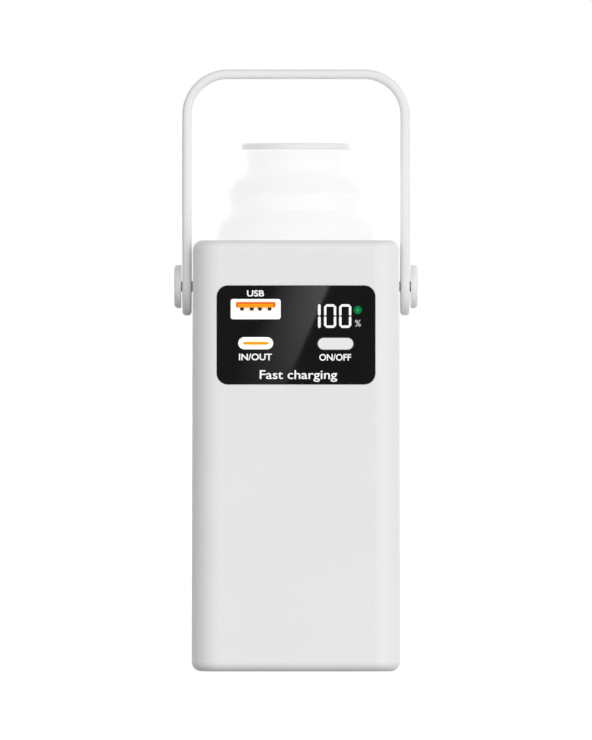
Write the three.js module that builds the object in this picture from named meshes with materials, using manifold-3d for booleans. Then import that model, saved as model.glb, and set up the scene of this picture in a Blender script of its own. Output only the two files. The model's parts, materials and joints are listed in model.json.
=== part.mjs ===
// Power bank with a pull-up lantern, a carrying handle and two built-in charging cords.
// Millimetres, +Z up. The control panel faces -Y, the cords lie on the +Y face.
// The origin is the centre of the base.

import * as THREE from 'three';
import { mergeVertices } from 'three/addons/utils/BufferGeometryUtils.js';
import Module from 'manifold-3d';

// ---------- Driving dimensions ----------

const GAP = 0.3; // clearance between neighbouring pieces
const OVERRUN = 1; // how far a cutting tool runs past the face it opens
const ARC_STEPS = 2; // a quarter arc has twice this many flats
const BEND_STEPS = 6; // flats round the half-round top of a cord
const EDGE_STEPS = 2; // flats across a rounded edge
const ROUND_STEPS = 20; // flats round a small turned piece
const LAMP_STEPS = 30; // flats round the lantern pieces

const BODY = {
  baseWidth: 57.4,
  topWidth: 56.7,
  depth: 56,
  height: 118.3,
  cornerRadius: 7.5,
  edgeRadius: 2.4,
  wall: 2.4,
};
const FRONT = -BODY.depth / 2;
const BACK = BODY.depth / 2;
const DECK = BODY.height;

const PANEL = {
  width: 43.1,
  height: 26.8,
  radius: 3,
  z: 92.3,
  thickness: 1.2,
  sunk: 0.05,
  edge: 0.25,
  lip: 0.35,
};
const PANEL_FACE = FRONT + PANEL.sunk;

const USB_A = { x: -11.05, z: 99.4, width: 13.8, height: 5.6, radius: 0.5 };
const USB_A_SHELL = { width: 13.3, height: 5.15, radius: 0.45, wall: 0.3 };
const USB_A_TONGUE = { width: 10.9, thickness: 1.5, rise: 1.2 };
const USB_A_CONTACTS = { width: 0.9, depth: 0.6, places: [-3.6, -1.1, 1.1, 3.6] };

const USB_C = { x: -11.05, z: 90.05, width: 9.7, height: 3.4, radius: 1.7 };
const USB_C_SHELL = { width: 9.2, height: 2.95, radius: 1.47, wall: 0.25 };
const USB_C_TONGUE = { width: 7, thickness: 0.75 };

const SOCKET = { mouth: PANEL_FACE + 0.25, back: -13.3, plugDepth: 12.2, tongueSunk: 0.7 };

const BUTTON = { x: 10.85, z: 89.9, width: 9.6, height: 3.1, face: FRONT + 0.1, stroke: 0.4 };
const BUTTON_STEM = { radius: 1.6, end: -18.2 };
const BUTTON_FLANGE = { overlap: 0.9, thickness: 0.8 };
const SWITCH = { side: 6, depth: 3.1, plungerRadius: 1.75, plungerLength: 2.3 };

const DISPLAY = { x: 11.2, z: 97.5, width: 15, height: 8.6, thickness: 2.5 };

const BOARD = { width: 43, bottom: 79.5, top: 107.5, front: SOCKET.back + GAP, thickness: 1.6 };
const BOARD_POSTS = { x: 19.4, radius: 1.9, screwRadius: 0.9, headRadius: 1.8, rows: [82, 105] };

const CELL = { radius: 10.6, length: 70, bottom: 4.5, spacing: 22, frontRow: -14.3 };
const HOLDER = { height: 8, margin: 0.7, clearance: 0.3 };
const STRIP = { side: 33, thickness: 0.5, radius: 3 };

const WELL = { rimRadius: 25, outerRadius: 24, innerRadius: 23, rim: 0.9, floorTop: 112.3, floor: 1.4 };
const LAMP_LEADS = { x: 2, y: 6 };
const LED_BOARD = { radius: 15, thickness: 1.2 };
const LED_EMITTER = { radius: 8, thickness: 0.7 };
const SHADE = { wall: 1.3, bottom: 112.6, top: 143, flangeInner: 18.8, flange: 1.1 };
const SHADE_RING = { inner: 18.8, outer: 20.7, height: 0.7 };
const CAP = { radius: 15.05, bottom: 143.35, top: 145.1, plugRadius: 11.7, plugLength: 3.6 };

const PIVOT = { z: 105.7, screwRadius: 1.45, boreRadius: 1.75, headRadius: 3, headThickness: 1 };
const PIVOT_BOSS = { radius: 4.8, inner: 23.4 };
const PIVOT_NUT = { radius: 4.4, thickness: 2.3 };
const PIVOT_BUSH = { radius: 3.2 };
const HUB = { radius: 5.95, thickness: 1.9, cover: 0.55, edge: 1 };
const HANDLE = {
  inner: 28.75,
  thickness: 2.55,
  top: 165.4,
  cornerRadius: 12.5,
  width: 12,
  edge: 0.7,
  eyeRadius: 8,
};

const CORD = { x: 8.95, width: 6, thickness: 2.8, y: 25.5, top: 95, bottom: 36 };
const ANCHOR = { width: 30.2, height: 8.1, radius: 1.1, z: 99.5, thickness: 3, face: 27.6 };
const DISH = { width: 34.2, height: 12.1, radius: 3, z: 99.4, depth: 0.4 };
const GROOVE = { width: 7.1, floor: 23.6, bottom: 35.9 };
const COLLAR = { width: 9, depth: 4, bottom: 32.2, top: 35.7, slotWidth: 9.7, slotFloor: 22.9 };
const PLUG = { width: 12.2, depth: 5.7, y: 25.05, bottom: 16.7, top: 31.9, radius: 1.6 };
const NOSE = { width: 9.1, depth: 4.2, y: 25.2, bottom: 15.4, top: 16.4, radius: 1.2 };
const TIP = { y: 25.2, bottom: 8, top: 15.1 };
const USB_C_TIP = { width: 8, depth: 2.5, radius: 1.2, wall: 0.45, mouthDepth: 6 };
const PHONE_TIP = { width: 7, depth: 1.7, radius: 0.8 };
const POCKET = {
  width: 12.9,
  floor: 21.4,
  tipFloor: 20.8,
  top: 32.5,
  step: 16.3,
  ledgeLow: 3.85,
  ledgeHigh: 5.5,
};

const WIRE = { radius: 0.6, cordRadius: 1, sides: 6, step: 2.6 };

// ---------- Materials ----------

function finish(color, roughness, metalness = 0) {
  return { color, roughness, metalness };
}

const FINISHES = {
  housing: finish(0xe7e7e7, 0.5),
  panel: finish(0x17171a, 0.1),
  silicone: finish(0xfafafa, 0.6),
  cap: finish(0xe9e9e9, 0.45),
  cord: finish(0xe8e8e8, 0.6),
  socketMetal: finish(0xf2f2f2, 0.3, 0.4),
  whiteInsert: finish(0xf5f5f5, 0.5),
  orange: finish(0xff9600, 0.4),
  steel: finish(0xc9c9cc, 0.3, 1),
  nickel: finish(0xd8d6d0, 0.35, 1),
  black: finish(0x1c1c1c, 0.6),
  board: finish(0x1f6b3a, 0.55),
  cellWrap: finish(0x3f7fb8, 0.45),
  phosphor: finish(0xf3d45a, 0.6),
  red: finish(0xc0281e, 0.5),
};

// ---------- Solid helpers ----------

const wasm = await Module();
wasm.setup();

// Turns a closed geometry into a solid that can be joined and cut.
function solid(geometry) {
  const bare = geometry.clone();
  bare.deleteAttribute('normal');
  bare.deleteAttribute('uv');
  const merged = mergeVertices(bare, 1e-4);
  const index = merged.index.array;
  const corners = [];
  for (let i = 0; i < index.length; i += 3) {
    const [a, b, c] = index.slice(i, i + 3);
    if (a !== b && b !== c && c !== a) {
      corners.push(a, b, c);
    }
  }
  return new wasm.Manifold(new wasm.Mesh({
    numProp: 3,
    vertProperties: merged.attributes.position.array,
    triVerts: Uint32Array.from(corners),
  }));
}

function join(base, ...others) {
  return others.reduce((sum, other) => sum.add(other), base);
}

function cut(base, ...tools) {
  return tools.reduce((rest, tool) => rest.subtract(tool), base);
}

function toGeometry(body) {
  const mesh = body.getMesh();
  const geometry = new THREE.BufferGeometry();
  geometry.setAttribute('position', new THREE.BufferAttribute(mesh.vertProperties, 3));
  geometry.setIndex(new THREE.BufferAttribute(mesh.triVerts, 1));
  geometry.computeVertexNormals();
  return geometry;
}

function piece(name, body, finishName) {
  const mesh = new THREE.Mesh(toGeometry(body), new THREE.MeshStandardMaterial(FINISHES[finishName]));
  mesh.name = name;
  return mesh;
}

// A rectangle with round corners, centred on (x, y).
function roundedRect(width, height, radius, x = 0, y = 0) {
  const w = width / 2 - radius;
  const h = height / 2 - radius;
  const shape = new THREE.Shape();
  shape.absarc(x + w, y - h, radius, -Math.PI / 2, 0, false);
  shape.absarc(x + w, y + h, radius, 0, Math.PI / 2, false);
  shape.absarc(x - w, y + h, radius, Math.PI / 2, Math.PI, false);
  shape.absarc(x - w, y - h, radius, Math.PI, 1.5 * Math.PI, false);
  return shape;
}

// An outline pulled along +Z from 0, its edges rounded by edge.
function extruded(shape, length, edge = 0) {
  const geometry = new THREE.ExtrudeGeometry(shape, {
    depth: length - 2 * edge,
    bevelEnabled: edge > 0,
    bevelThickness: edge,
    bevelSize: edge,
    bevelOffset: -edge,
    bevelSegments: EDGE_STEPS,
    curveSegments: ARC_STEPS,
  });
  return geometry.translate(0, 0, edge);
}

// An outline drawn in XZ, between two Y planes.
function slab(shape, yLow, yHigh, edge = 0) {
  return solid(extruded(shape, yHigh - yLow, edge).rotateX(Math.PI / 2).translate(0, yHigh, 0));
}

// An outline drawn in XY, between two heights.
function column(shape, zLow, zHigh, edge = 0) {
  return solid(extruded(shape, zHigh - zLow, edge).translate(0, 0, zLow));
}

// An outline drawn in YZ, between two X planes.
function profileX(points, xLow, xHigh) {
  const shape = new THREE.Shape(points.map(([y, z]) => new THREE.Vector2(y, z)));
  const geometry = extruded(shape, xHigh - xLow);
  const toYZ = new THREE.Matrix4().makeBasis(
    new THREE.Vector3(0, 1, 0),
    new THREE.Vector3(0, 0, 1),
    new THREE.Vector3(1, 0, 0),
  );
  return solid(geometry.applyMatrix4(toYZ).translate(xLow, 0, 0));
}

function box(xLow, xHigh, yLow, yHigh, zLow, zHigh) {
  const geometry = new THREE.BoxGeometry(xHigh - xLow, yHigh - yLow, zHigh - zLow);
  return solid(geometry.translate((xLow + xHigh) / 2, (yLow + yHigh) / 2, (zLow + zHigh) / 2));
}

function rodX(radius, xLow, xHigh, z = 0, steps = ROUND_STEPS) {
  const geometry = new THREE.CylinderGeometry(radius, radius, xHigh - xLow, steps).rotateZ(Math.PI / 2);
  return solid(geometry.translate((xLow + xHigh) / 2, 0, z));
}

function rodY(radius, yLow, yHigh, x, z, steps = ROUND_STEPS) {
  const geometry = new THREE.CylinderGeometry(radius, radius, yHigh - yLow, steps);
  return solid(geometry.translate(x, (yLow + yHigh) / 2, z));
}

function rodZ(radius, zLow, zHigh, steps = LAMP_STEPS, x = 0, y = 0) {
  const geometry = new THREE.CylinderGeometry(radius, radius, zHigh - zLow, steps).rotateX(Math.PI / 2);
  return solid(geometry.translate(x, y, (zLow + zHigh) / 2));
}

// A profile of (radius, height) points turned about Z. The points run up the outside.
function turned(points, steps = LAMP_STEPS) {
  const profile = points.map(([radius, height]) => new THREE.Vector2(radius, height));
  return new THREE.LatheGeometry(profile, steps).rotateX(Math.PI / 2);
}

// A round wire along a smooth curve through the points.
function wire(radius, points) {
  const stations = points.map((point) => new THREE.Vector3(...point));
  const route = new THREE.CatmullRomCurve3(stations, false, 'centripetal');
  const section = new THREE.Shape();
  for (let i = 0; i < WIRE.sides; i += 1) {
    const angle = (2 * Math.PI * i) / WIRE.sides;
    const corner = [radius * Math.cos(angle), radius * Math.sin(angle)];
    if (i === 0) {
      section.moveTo(...corner);
    } else {
      section.lineTo(...corner);
    }
  }
  const steps = Math.ceil(route.getLength() / WIRE.step);
  return solid(new THREE.ExtrudeGeometry(section, { steps, extrudePath: route, bevelEnabled: false }));
}

// ---------- Housing ----------

function narrowing(z) {
  return 1 - (1 - BODY.topWidth / BODY.baseWidth) * (z / BODY.height);
}

function sideX(z) {
  return (BODY.baseWidth / 2) * narrowing(z);
}

// The housing's block, drawn in by inset on every side, its sides leaning in towards the top.
function housingBlock(inset, edge) {
  const outline = roundedRect(BODY.baseWidth - 2 * inset, BODY.depth - 2 * inset, BODY.cornerRadius - inset);
  const geometry = extruded(outline, BODY.height - 2 * inset, edge).translate(0, 0, inset);
  const position = geometry.attributes.position;
  for (let i = 0; i < position.count; i += 1) {
    position.setX(i, position.getX(i) * narrowing(position.getZ(i)));
  }
  return solid(geometry);
}

function pocketCut(x) {
  const slope = (POCKET.ledgeHigh - POCKET.ledgeLow) / (BACK - POCKET.tipFloor);
  const mouth = BACK + OVERRUN;
  const side = [
    [mouth, POCKET.ledgeLow - slope * OVERRUN],
    [mouth, POCKET.top],
    [POCKET.floor, POCKET.top],
    [POCKET.floor, POCKET.step],
    [POCKET.tipFloor, POCKET.step - (POCKET.floor - POCKET.tipFloor)],
    [POCKET.tipFloor, POCKET.ledgeHigh],
  ];
  const collarSlot = box(
    x - COLLAR.slotWidth / 2, x + COLLAR.slotWidth / 2,
    COLLAR.slotFloor, mouth,
    POCKET.top - OVERRUN, COLLAR.top + GAP,
  );
  const groove = box(x - GROOVE.width / 2, x + GROOVE.width / 2, GROOVE.floor, mouth, GROOVE.bottom, ANCHOR.z);
  const pocket = profileX(side, x - POCKET.width / 2, x + POCKET.width / 2);
  return join(pocket, collarSlot, groove);
}

function pocketBacking() {
  const pocketWidth = CORD.x + POCKET.width / 2 + 1.5;
  const behindPockets = box(-pocketWidth, pocketWidth, POCKET.tipFloor - 1.5, BACK - 1, 1, POCKET.top + 5);
  const anchorWidth = ANCHOR.width / 2 + 1.5;
  const grooveWidth = CORD.x + GROOVE.width / 2 + 1.5;
  const behindGrooves = box(-grooveWidth, grooveWidth, GROOVE.floor - 1.5, BACK - 1, POCKET.top, ANCHOR.z);
  const behindAnchor = box(
    -anchorWidth, anchorWidth, GROOVE.floor - 1.5, BACK - 1,
    ANCHOR.z - ANCHOR.height / 2 - 2, ANCHOR.z + ANCHOR.height / 2 + 2,
  );
  return join(behindPockets, behindGrooves, behindAnchor);
}

function panelRecess() {
  const width = PANEL.width + 2 * GAP;
  const height = PANEL.height + 2 * GAP;
  const radius = PANEL.radius + GAP;
  const floor = PANEL_FACE + PANEL.thickness + GAP;
  const recess = slab(roundedRect(width, height, radius, 0, PANEL.z), FRONT - OVERRUN, floor);
  const lipOutline = roundedRect(width + 2 * PANEL.lip, height + 2 * PANEL.lip, radius + PANEL.lip, 0, PANEL.z);
  const lip = slab(lipOutline, FRONT - PANEL.lip, FRONT + PANEL.lip, PANEL.lip);
  return join(recess, lip);
}

// Openings behind the panel for what reaches through it or shows in it.
function panelWindows() {
  const yLow = PANEL_FACE;
  const yHigh = FRONT + BODY.wall + OVERRUN;
  const clear = 2 * GAP;
  const usbA = roundedRect(USB_A.width + clear, USB_A.height + clear, USB_A.radius, USB_A.x, USB_A.z);
  const usbC = roundedRect(USB_C.width + clear, USB_C.height + clear, USB_C.radius, USB_C.x, USB_C.z);
  const button = roundedRect(
    BUTTON.width + clear, BUTTON.height + clear, BUTTON.height / 2, BUTTON.x, BUTTON.z,
  );
  const display = roundedRect(DISPLAY.width - 2, DISPLAY.height - 2, 0.5, DISPLAY.x, DISPLAY.z);
  return [usbA, usbC, button, display].map((outline) => slab(outline, yLow, yHigh));
}

function boardPosts() {
  const posts = [];
  for (const side of [-1, 1]) {
    for (const z of BOARD_POSTS.rows) {
      const x = side * BOARD_POSTS.x;
      const post = rodY(BOARD_POSTS.radius, FRONT + BODY.wall - 0.5, BOARD.front - GAP, x, z, 12);
      const hole = rodY(BOARD_POSTS.screwRadius + GAP, FRONT + BODY.wall + 2, BOARD.front, x, z, 12);
      posts.push(cut(post, hole));
    }
  }
  return posts;
}

function housing() {
  const bosses = [-1, 1].map((side) => {
    const wallX = sideX(PIVOT.z) - 1;
    const ends = [side * PIVOT_BOSS.inner, side * wallX].sort((a, b) => a - b);
    return rodX(PIVOT_BOSS.radius, ends[0], ends[1], PIVOT.z);
  });
  const hollow = cut(housingBlock(0, BODY.edgeRadius), housingBlock(BODY.wall, 0));
  const fitted = join(hollow, ...bosses, pocketBacking(), ...boardPosts());
  const anchorOutline = roundedRect(
    ANCHOR.width + 2 * GAP, ANCHOR.height + 2 * GAP, ANCHOR.radius + GAP, 0, ANCHOR.z,
  );
  const anchorFloor = ANCHOR.face - ANCHOR.thickness - GAP;
  return cut(
    fitted,
    rodZ(WELL.outerRadius + GAP, DECK - BODY.wall - OVERRUN, DECK + OVERRUN),
    rodZ(WELL.rimRadius + GAP, DECK - WELL.rim - GAP, DECK + OVERRUN),
    rodX(PIVOT.boreRadius, -BODY.baseWidth, BODY.baseWidth, PIVOT.z, 24),
    panelRecess(),
    ...panelWindows(),
    pocketCut(-CORD.x),
    pocketCut(CORD.x),
    slab(roundedRect(DISH.width, DISH.height, DISH.radius, 0, DISH.z), BACK - DISH.depth, BACK + OVERRUN),
    slab(anchorOutline, anchorFloor, BACK + OVERRUN),
    ...[-1, 1].map((side) => rodY(WIRE.cordRadius + GAP, 15, BACK, side * CORD.x, ANCHOR.z, 12)),
  );
}

function housingHalves() {
  const whole = housing();
  const reach = BODY.height;
  const frontHalf = box(-reach, reach, -reach, -GAP / 2, -reach, 2 * reach);
  const backHalf = box(-reach, reach, GAP / 2, reach, -reach, 2 * reach);
  return [
    piece('front_shell', whole.intersect(frontHalf), 'housing'),
    piece('back_shell', whole.intersect(backHalf), 'housing'),
  ];
}

// ---------- Control panel ----------

function frontPanel() {
  const yLow = PANEL_FACE;
  const yHigh = PANEL_FACE + PANEL.thickness;
  const plate = slab(roundedRect(PANEL.width, PANEL.height, PANEL.radius, 0, PANEL.z), yLow, yHigh, PANEL.edge);
  const button = roundedRect(
    BUTTON.width + 2 * GAP, BUTTON.height + 2 * GAP, BUTTON.height / 2 + GAP, BUTTON.x, BUTTON.z,
  );
  const openings = [
    roundedRect(USB_A.width, USB_A.height, USB_A.radius, USB_A.x, USB_A.z),
    roundedRect(USB_C.width, USB_C.height, USB_C.radius, USB_C.x, USB_C.z),
    button,
  ];
  const tools = openings.map((outline) => slab(outline, yLow - OVERRUN, yHigh + OVERRUN));
  return piece('front_panel', cut(plate, ...tools), 'panel');
}

function powerButton() {
  const radius = BUTTON.height / 2;
  const flangeFront = FRONT + BODY.wall + GAP;
  const flangeBack = flangeFront + BUTTON_FLANGE.thickness;
  const grow = 2 * BUTTON_FLANGE.overlap;
  const cap = slab(
    roundedRect(BUTTON.width, BUTTON.height, radius, BUTTON.x, BUTTON.z), BUTTON.face, flangeBack, 0.3,
  );
  const flangeOutline = roundedRect(BUTTON.width + grow, BUTTON.height + grow, radius, BUTTON.x, BUTTON.z);
  const flange = slab(flangeOutline, flangeFront, flangeBack);
  const stem = rodY(BUTTON_STEM.radius, flangeBack - 0.5, BUTTON_STEM.end, BUTTON.x, BUTTON.z, 16);
  return piece('power_button', join(cap, flange, stem), 'cap');
}

function switchPieces() {
  const half = SWITCH.side / 2;
  const front = BOARD.front - GAP - SWITCH.depth;
  const plungerFront = BUTTON_STEM.end + GAP;
  const plungerBack = plungerFront + SWITCH.plungerLength;
  const body = box(
    BUTTON.x - half, BUTTON.x + half, front, BOARD.front - GAP, BUTTON.z - half, BUTTON.z + half,
  );
  const well = rodY(
    SWITCH.plungerRadius + GAP, front - OVERRUN, plungerBack + BUTTON.stroke + GAP, BUTTON.x, BUTTON.z, 16,
  );
  const plunger = rodY(SWITCH.plungerRadius, plungerFront, plungerBack, BUTTON.x, BUTTON.z, 16);
  return [
    piece('tact_switch', cut(body, well), 'black'),
    piece('tact_plunger', plunger, 'black'),
  ];
}

function displayModule() {
  const front = FRONT + BODY.wall + GAP;
  const outline = roundedRect(DISPLAY.width, DISPLAY.height, 0.5, DISPLAY.x, DISPLAY.z);
  return piece('display_module', slab(outline, front, front + DISPLAY.thickness), 'black');
}

// The metal tube of a socket, round the place where its plug goes.
function socketShell(name, place, shell) {
  const outer = roundedRect(shell.width, shell.height, shell.radius, place.x, place.z);
  const inner = roundedRect(
    shell.width - 2 * shell.wall, shell.height - 2 * shell.wall, shell.radius - shell.wall, place.x, place.z,
  );
  const tube = cut(
    slab(outer, SOCKET.mouth, SOCKET.back),
    slab(inner, SOCKET.mouth - OVERRUN, SOCKET.back + OVERRUN),
  );
  return piece(name, tube, 'socketMetal');
}

// The plastic block that closes the back of a socket.
function socketInsert(name, place, shell) {
  const shrink = 2 * (shell.wall + GAP);
  const radius = Math.max(shell.radius - shell.wall - GAP, 0.1);
  const outline = roundedRect(shell.width - shrink, shell.height - shrink, radius, place.x, place.z);
  return piece(name, slab(outline, SOCKET.mouth + SOCKET.plugDepth, SOCKET.back), 'whiteInsert');
}

function usbATongue() {
  const z = USB_A.z + USB_A_TONGUE.rise;
  const front = SOCKET.mouth + SOCKET.tongueSunk;
  const back = SOCKET.mouth + SOCKET.plugDepth - GAP;
  const tongue = slab(roundedRect(USB_A_TONGUE.width, USB_A_TONGUE.thickness, 0.2, USB_A.x, z), front, back);
  const underside = z - USB_A_TONGUE.thickness / 2;
  const half = USB_A_CONTACTS.width / 2;
  const contacts = USB_A_CONTACTS.places.map((place) => box(
    USB_A.x + place - half, USB_A.x + place + half, front + 0.2, back, underside - USB_A_CONTACTS.depth, z,
  ));
  return piece('usb_a_tongue', join(tongue, ...contacts), 'orange');
}

function usbCTongue() {
  const outline = roundedRect(USB_C_TONGUE.width, USB_C_TONGUE.thickness, 0.3, USB_C.x, USB_C.z);
  const front = SOCKET.mouth + SOCKET.tongueSunk;
  return piece('usb_c_tongue', slab(outline, front, SOCKET.mouth + SOCKET.plugDepth - GAP), 'orange');
}

// ---------- Circuit board and cells ----------

function mainBoard() {
  const half = BOARD.width / 2;
  const back = BOARD.front + BOARD.thickness;
  const plate = box(-half, half, BOARD.front, back, BOARD.bottom, BOARD.top);
  const inductor = box(-6, 3, back - 0.5, back + 4.5, 84, 93);
  const controller = box(-16, -10, back - 0.5, back + 1, 88, 94);
  const capacitor = rodY(2.5, back - 0.5, back + 6, 12, 92, 16);
  const holes = [];
  for (const side of [-1, 1]) {
    for (const z of BOARD_POSTS.rows) {
      holes.push(rodY(BOARD_POSTS.screwRadius + GAP, BOARD.front - 1, back + 1, side * BOARD_POSTS.x, z, 12));
    }
  }
  return piece('main_board', cut(join(plate, inductor, controller, capacitor), ...holes), 'board');
}

function boardScrews() {
  const headFront = BOARD.front + BOARD.thickness + GAP;
  const shank = rodY(BOARD_POSTS.screwRadius, FRONT + BODY.wall + 3, headFront + 0.5, 0, 0, 12);
  const screw = join(shank, rodY(BOARD_POSTS.headRadius, headFront, headFront + 1.2, 0, 0, 16));
  const screws = [];
  for (const side of [-1, 1]) {
    for (const z of BOARD_POSTS.rows) {
      const mesh = piece(`board_screw_${screws.length + 1}`, screw, 'steel');
      mesh.position.set(side * BOARD_POSTS.x, 0, z);
      screws.push(mesh);
    }
  }
  return screws;
}

function cellPlaces() {
  const places = [];
  for (const y of [CELL.frontRow, CELL.frontRow + CELL.spacing]) {
    for (const side of [-1, 1]) {
      places.push([(side * CELL.spacing) / 2, y]);
    }
  }
  return places;
}

function cells() {
  return cellPlaces().map(([x, y], i) => {
    const mesh = piece(`cell_${i + 1}`, rodZ(CELL.radius, 0, CELL.length, ROUND_STEPS), 'cellWrap');
    mesh.position.set(x, y, CELL.bottom);
    return mesh;
  });
}

function cellHolder(name, zLow) {
  const width = CELL.spacing + 2 * (CELL.radius + HOLDER.margin);
  const depth = CELL.spacing + 2 * CELL.radius + HOLDER.margin;
  const midY = CELL.frontRow + CELL.spacing / 2;
  const block = column(roundedRect(width, depth, 5, 0, midY), zLow, zLow + HOLDER.height);
  const bores = cellPlaces().map(([x, y]) => rodZ(
    CELL.radius + HOLDER.clearance, zLow - OVERRUN, zLow + HOLDER.height + OVERRUN, ROUND_STEPS, x, y,
  ));
  return piece(name, cut(block, ...bores), 'black');
}

function contactStrip(name, zLow) {
  const midY = CELL.frontRow + CELL.spacing / 2;
  const outline = roundedRect(STRIP.side, STRIP.side, STRIP.radius, 0, midY);
  return piece(name, column(outline, zLow, zLow + STRIP.thickness), 'nickel');
}

function batteryPack() {
  const top = CELL.bottom + CELL.length;
  return [
    ...cells(),
    cellHolder('cell_holder_lower', CELL.bottom),
    cellHolder('cell_holder_upper', top - HOLDER.height),
    contactStrip('contact_strip_lower', CELL.bottom - GAP - STRIP.thickness),
    contactStrip('contact_strip_upper', top + GAP),
  ];
}

// ---------- Internal wiring ----------

function wiring() {
  const boardBack = BOARD.front + BOARD.thickness + GAP;
  const stripTop = CELL.bottom + CELL.length + GAP + STRIP.thickness + GAP;
  const underCells = BODY.wall + 1;
  const midY = CELL.frontRow + CELL.spacing / 2;
  const sideRun = 24.4;
  const positive = [
    [-8, midY, stripTop], [-8, midY, 78], [-8, midY - 3, 81],
    [-8, boardBack + 1.5, 82], [-8, boardBack, 82],
  ];
  const negative = [
    [STRIP.side / 2 + GAP, midY, underCells], [22.2, midY, underCells], [23.8, midY, underCells + 0.6],
    [sideRun, midY, 6.5], [sideRun, midY, 12], [sideRun, midY, 40], [sideRun, midY, 74], [20, midY - 1, 83],
    [15, boardBack + 2, 84], [15, boardBack, 84],
  ];
  const lampHole = WELL.floorTop + GAP;
  const lampLead = (x) => [
    [x, LAMP_LEADS.y, lampHole], [x, LAMP_LEADS.y, 108], [x, 0, 104],
    [x, boardBack + 2, 101], [x, boardBack, 101],
  ];
  const cordStart = ANCHOR.face - ANCHOR.thickness - GAP;
  const cordLead = (x) => [
    [x, cordStart, ANCHOR.z], [x, 16, ANCHOR.z], [x, 6, 97], [x, boardBack + 3, 95.5], [x, boardBack, 95.5],
  ];
  return [
    piece('battery_lead_positive', wire(WIRE.radius, positive), 'red'),
    piece('battery_lead_negative', wire(WIRE.radius, negative), 'black'),
    piece('lamp_lead_positive', wire(WIRE.radius, lampLead(-LAMP_LEADS.x)), 'red'),
    piece('lamp_lead_negative', wire(WIRE.radius, lampLead(LAMP_LEADS.x)), 'black'),
    piece('phone_cord_lead', wire(WIRE.cordRadius, cordLead(CORD.x)), 'whiteInsert'),
    piece('usb_c_cord_lead', wire(WIRE.cordRadius, cordLead(-CORD.x)), 'whiteInsert'),
  ];
}

// ---------- Lantern ----------

// The outside of the shade from its base to its neck, as (radius, height).
function shadeOutside() {
  return [
    [22.5, SHADE.bottom], [22.3, 118.6], [21.9, 120.8], [21.2, 122.9], [19.9, 124.5], [17.95, 126.3],
    [18.4, 128.4], [19, 130.9], [16.8, 134.9], [13.7, 137.4], [13.35, SHADE.top],
  ];
}

function lampShade() {
  const outside = shadeOutside();
  const inside = outside.slice(1).reverse().map(([radius, height]) => [radius - SHADE.wall, height]);
  const flangeTop = SHADE.bottom + SHADE.flange;
  const section = [
    ...outside,
    ...inside,
    [22.5 - SHADE.wall, flangeTop],
    [SHADE.flangeInner, flangeTop],
    [SHADE.flangeInner, SHADE.bottom],
    outside[0],
  ];
  return piece('lamp_shade', solid(turned(section)), 'silicone');
}

function lampWell() {
  const floorLow = WELL.floorTop - WELL.floor;
  const cup = cut(
    join(
      rodZ(WELL.outerRadius, floorLow, DECK - WELL.rim / 2),
      rodZ(WELL.rimRadius, DECK - WELL.rim, DECK),
    ),
    rodZ(WELL.innerRadius, WELL.floorTop, DECK + OVERRUN),
    ...[-1, 1].map((side) => rodZ(
      WIRE.radius + GAP, floorLow - OVERRUN, WELL.floorTop + OVERRUN, 12, side * LAMP_LEADS.x, LAMP_LEADS.y,
    )),
  );
  return piece('lamp_well', cup, 'cap');
}

function lampInterior() {
  const boardLow = WELL.floorTop + GAP + 0.3;
  const boardTop = boardLow + LED_BOARD.thickness;
  const emitterLow = boardTop + GAP;
  const ringLow = SHADE.bottom + SHADE.flange + GAP;
  const ring = cut(
    rodZ(SHADE_RING.outer, ringLow, ringLow + SHADE_RING.height),
    rodZ(SHADE_RING.inner, ringLow - OVERRUN, ringLow + OVERRUN),
  );
  return [
    piece('led_board', rodZ(LED_BOARD.radius, boardLow, boardTop), 'whiteInsert'),
    piece('led_emitter', rodZ(LED_EMITTER.radius, emitterLow, emitterLow + LED_EMITTER.thickness), 'phosphor'),
    piece('shade_ring', ring, 'whiteInsert'),
  ];
}

function lampCap() {
  const plugBottom = CAP.bottom - CAP.plugLength;
  const middle = (CAP.bottom + CAP.top) / 2;
  const profile = [
    [0, plugBottom], [CAP.plugRadius, plugBottom], [CAP.plugRadius, CAP.bottom],
    [CAP.radius - 0.6, CAP.bottom], [CAP.radius - 0.15, CAP.bottom + 0.35], [CAP.radius, middle],
    [CAP.radius - 0.15, CAP.top - 0.35], [CAP.radius - 0.6, CAP.top], [0, CAP.top],
  ];
  return piece('lamp_cap', solid(turned(profile)), 'cap');
}

// ---------- Handle ----------

// The handle's U, its two ends on the pivots' axis.
function handleOutline() {
  const outer = HANDLE.inner + HANDLE.thickness;
  const innerRadius = HANDLE.cornerRadius - HANDLE.thickness;
  const centreX = outer - HANDLE.cornerRadius;
  const centreZ = HANDLE.top - HANDLE.cornerRadius;
  const shape = new THREE.Shape();
  shape.moveTo(outer, PIVOT.z);
  shape.absarc(centreX, centreZ, HANDLE.cornerRadius, 0, Math.PI / 2, false);
  shape.absarc(-centreX, centreZ, HANDLE.cornerRadius, Math.PI / 2, Math.PI, false);
  shape.lineTo(-outer, PIVOT.z);
  shape.lineTo(-HANDLE.inner, PIVOT.z);
  shape.absarc(-centreX, centreZ, innerRadius, Math.PI, Math.PI / 2, true);
  shape.absarc(centreX, centreZ, innerRadius, Math.PI / 2, 0, true);
  shape.lineTo(HANDLE.inner, PIVOT.z);
  return shape;
}

function handle() {
  const bow = slab(handleOutline(), -HANDLE.width / 2, HANDLE.width / 2, HANDLE.edge);
  const outer = HANDLE.inner + HANDLE.thickness;
  const eyes = [[-outer, -HANDLE.inner], [HANDLE.inner, outer]].map(
    ([xLow, xHigh]) => rodX(HANDLE.eyeRadius, xLow, xHigh, PIVOT.z),
  );
  const bore = rodX(PIVOT_BUSH.radius + GAP, -outer - OVERRUN, outer + OVERRUN, PIVOT.z);
  return piece('handle', cut(join(bow, ...eyes), bore), 'housing');
}

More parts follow.
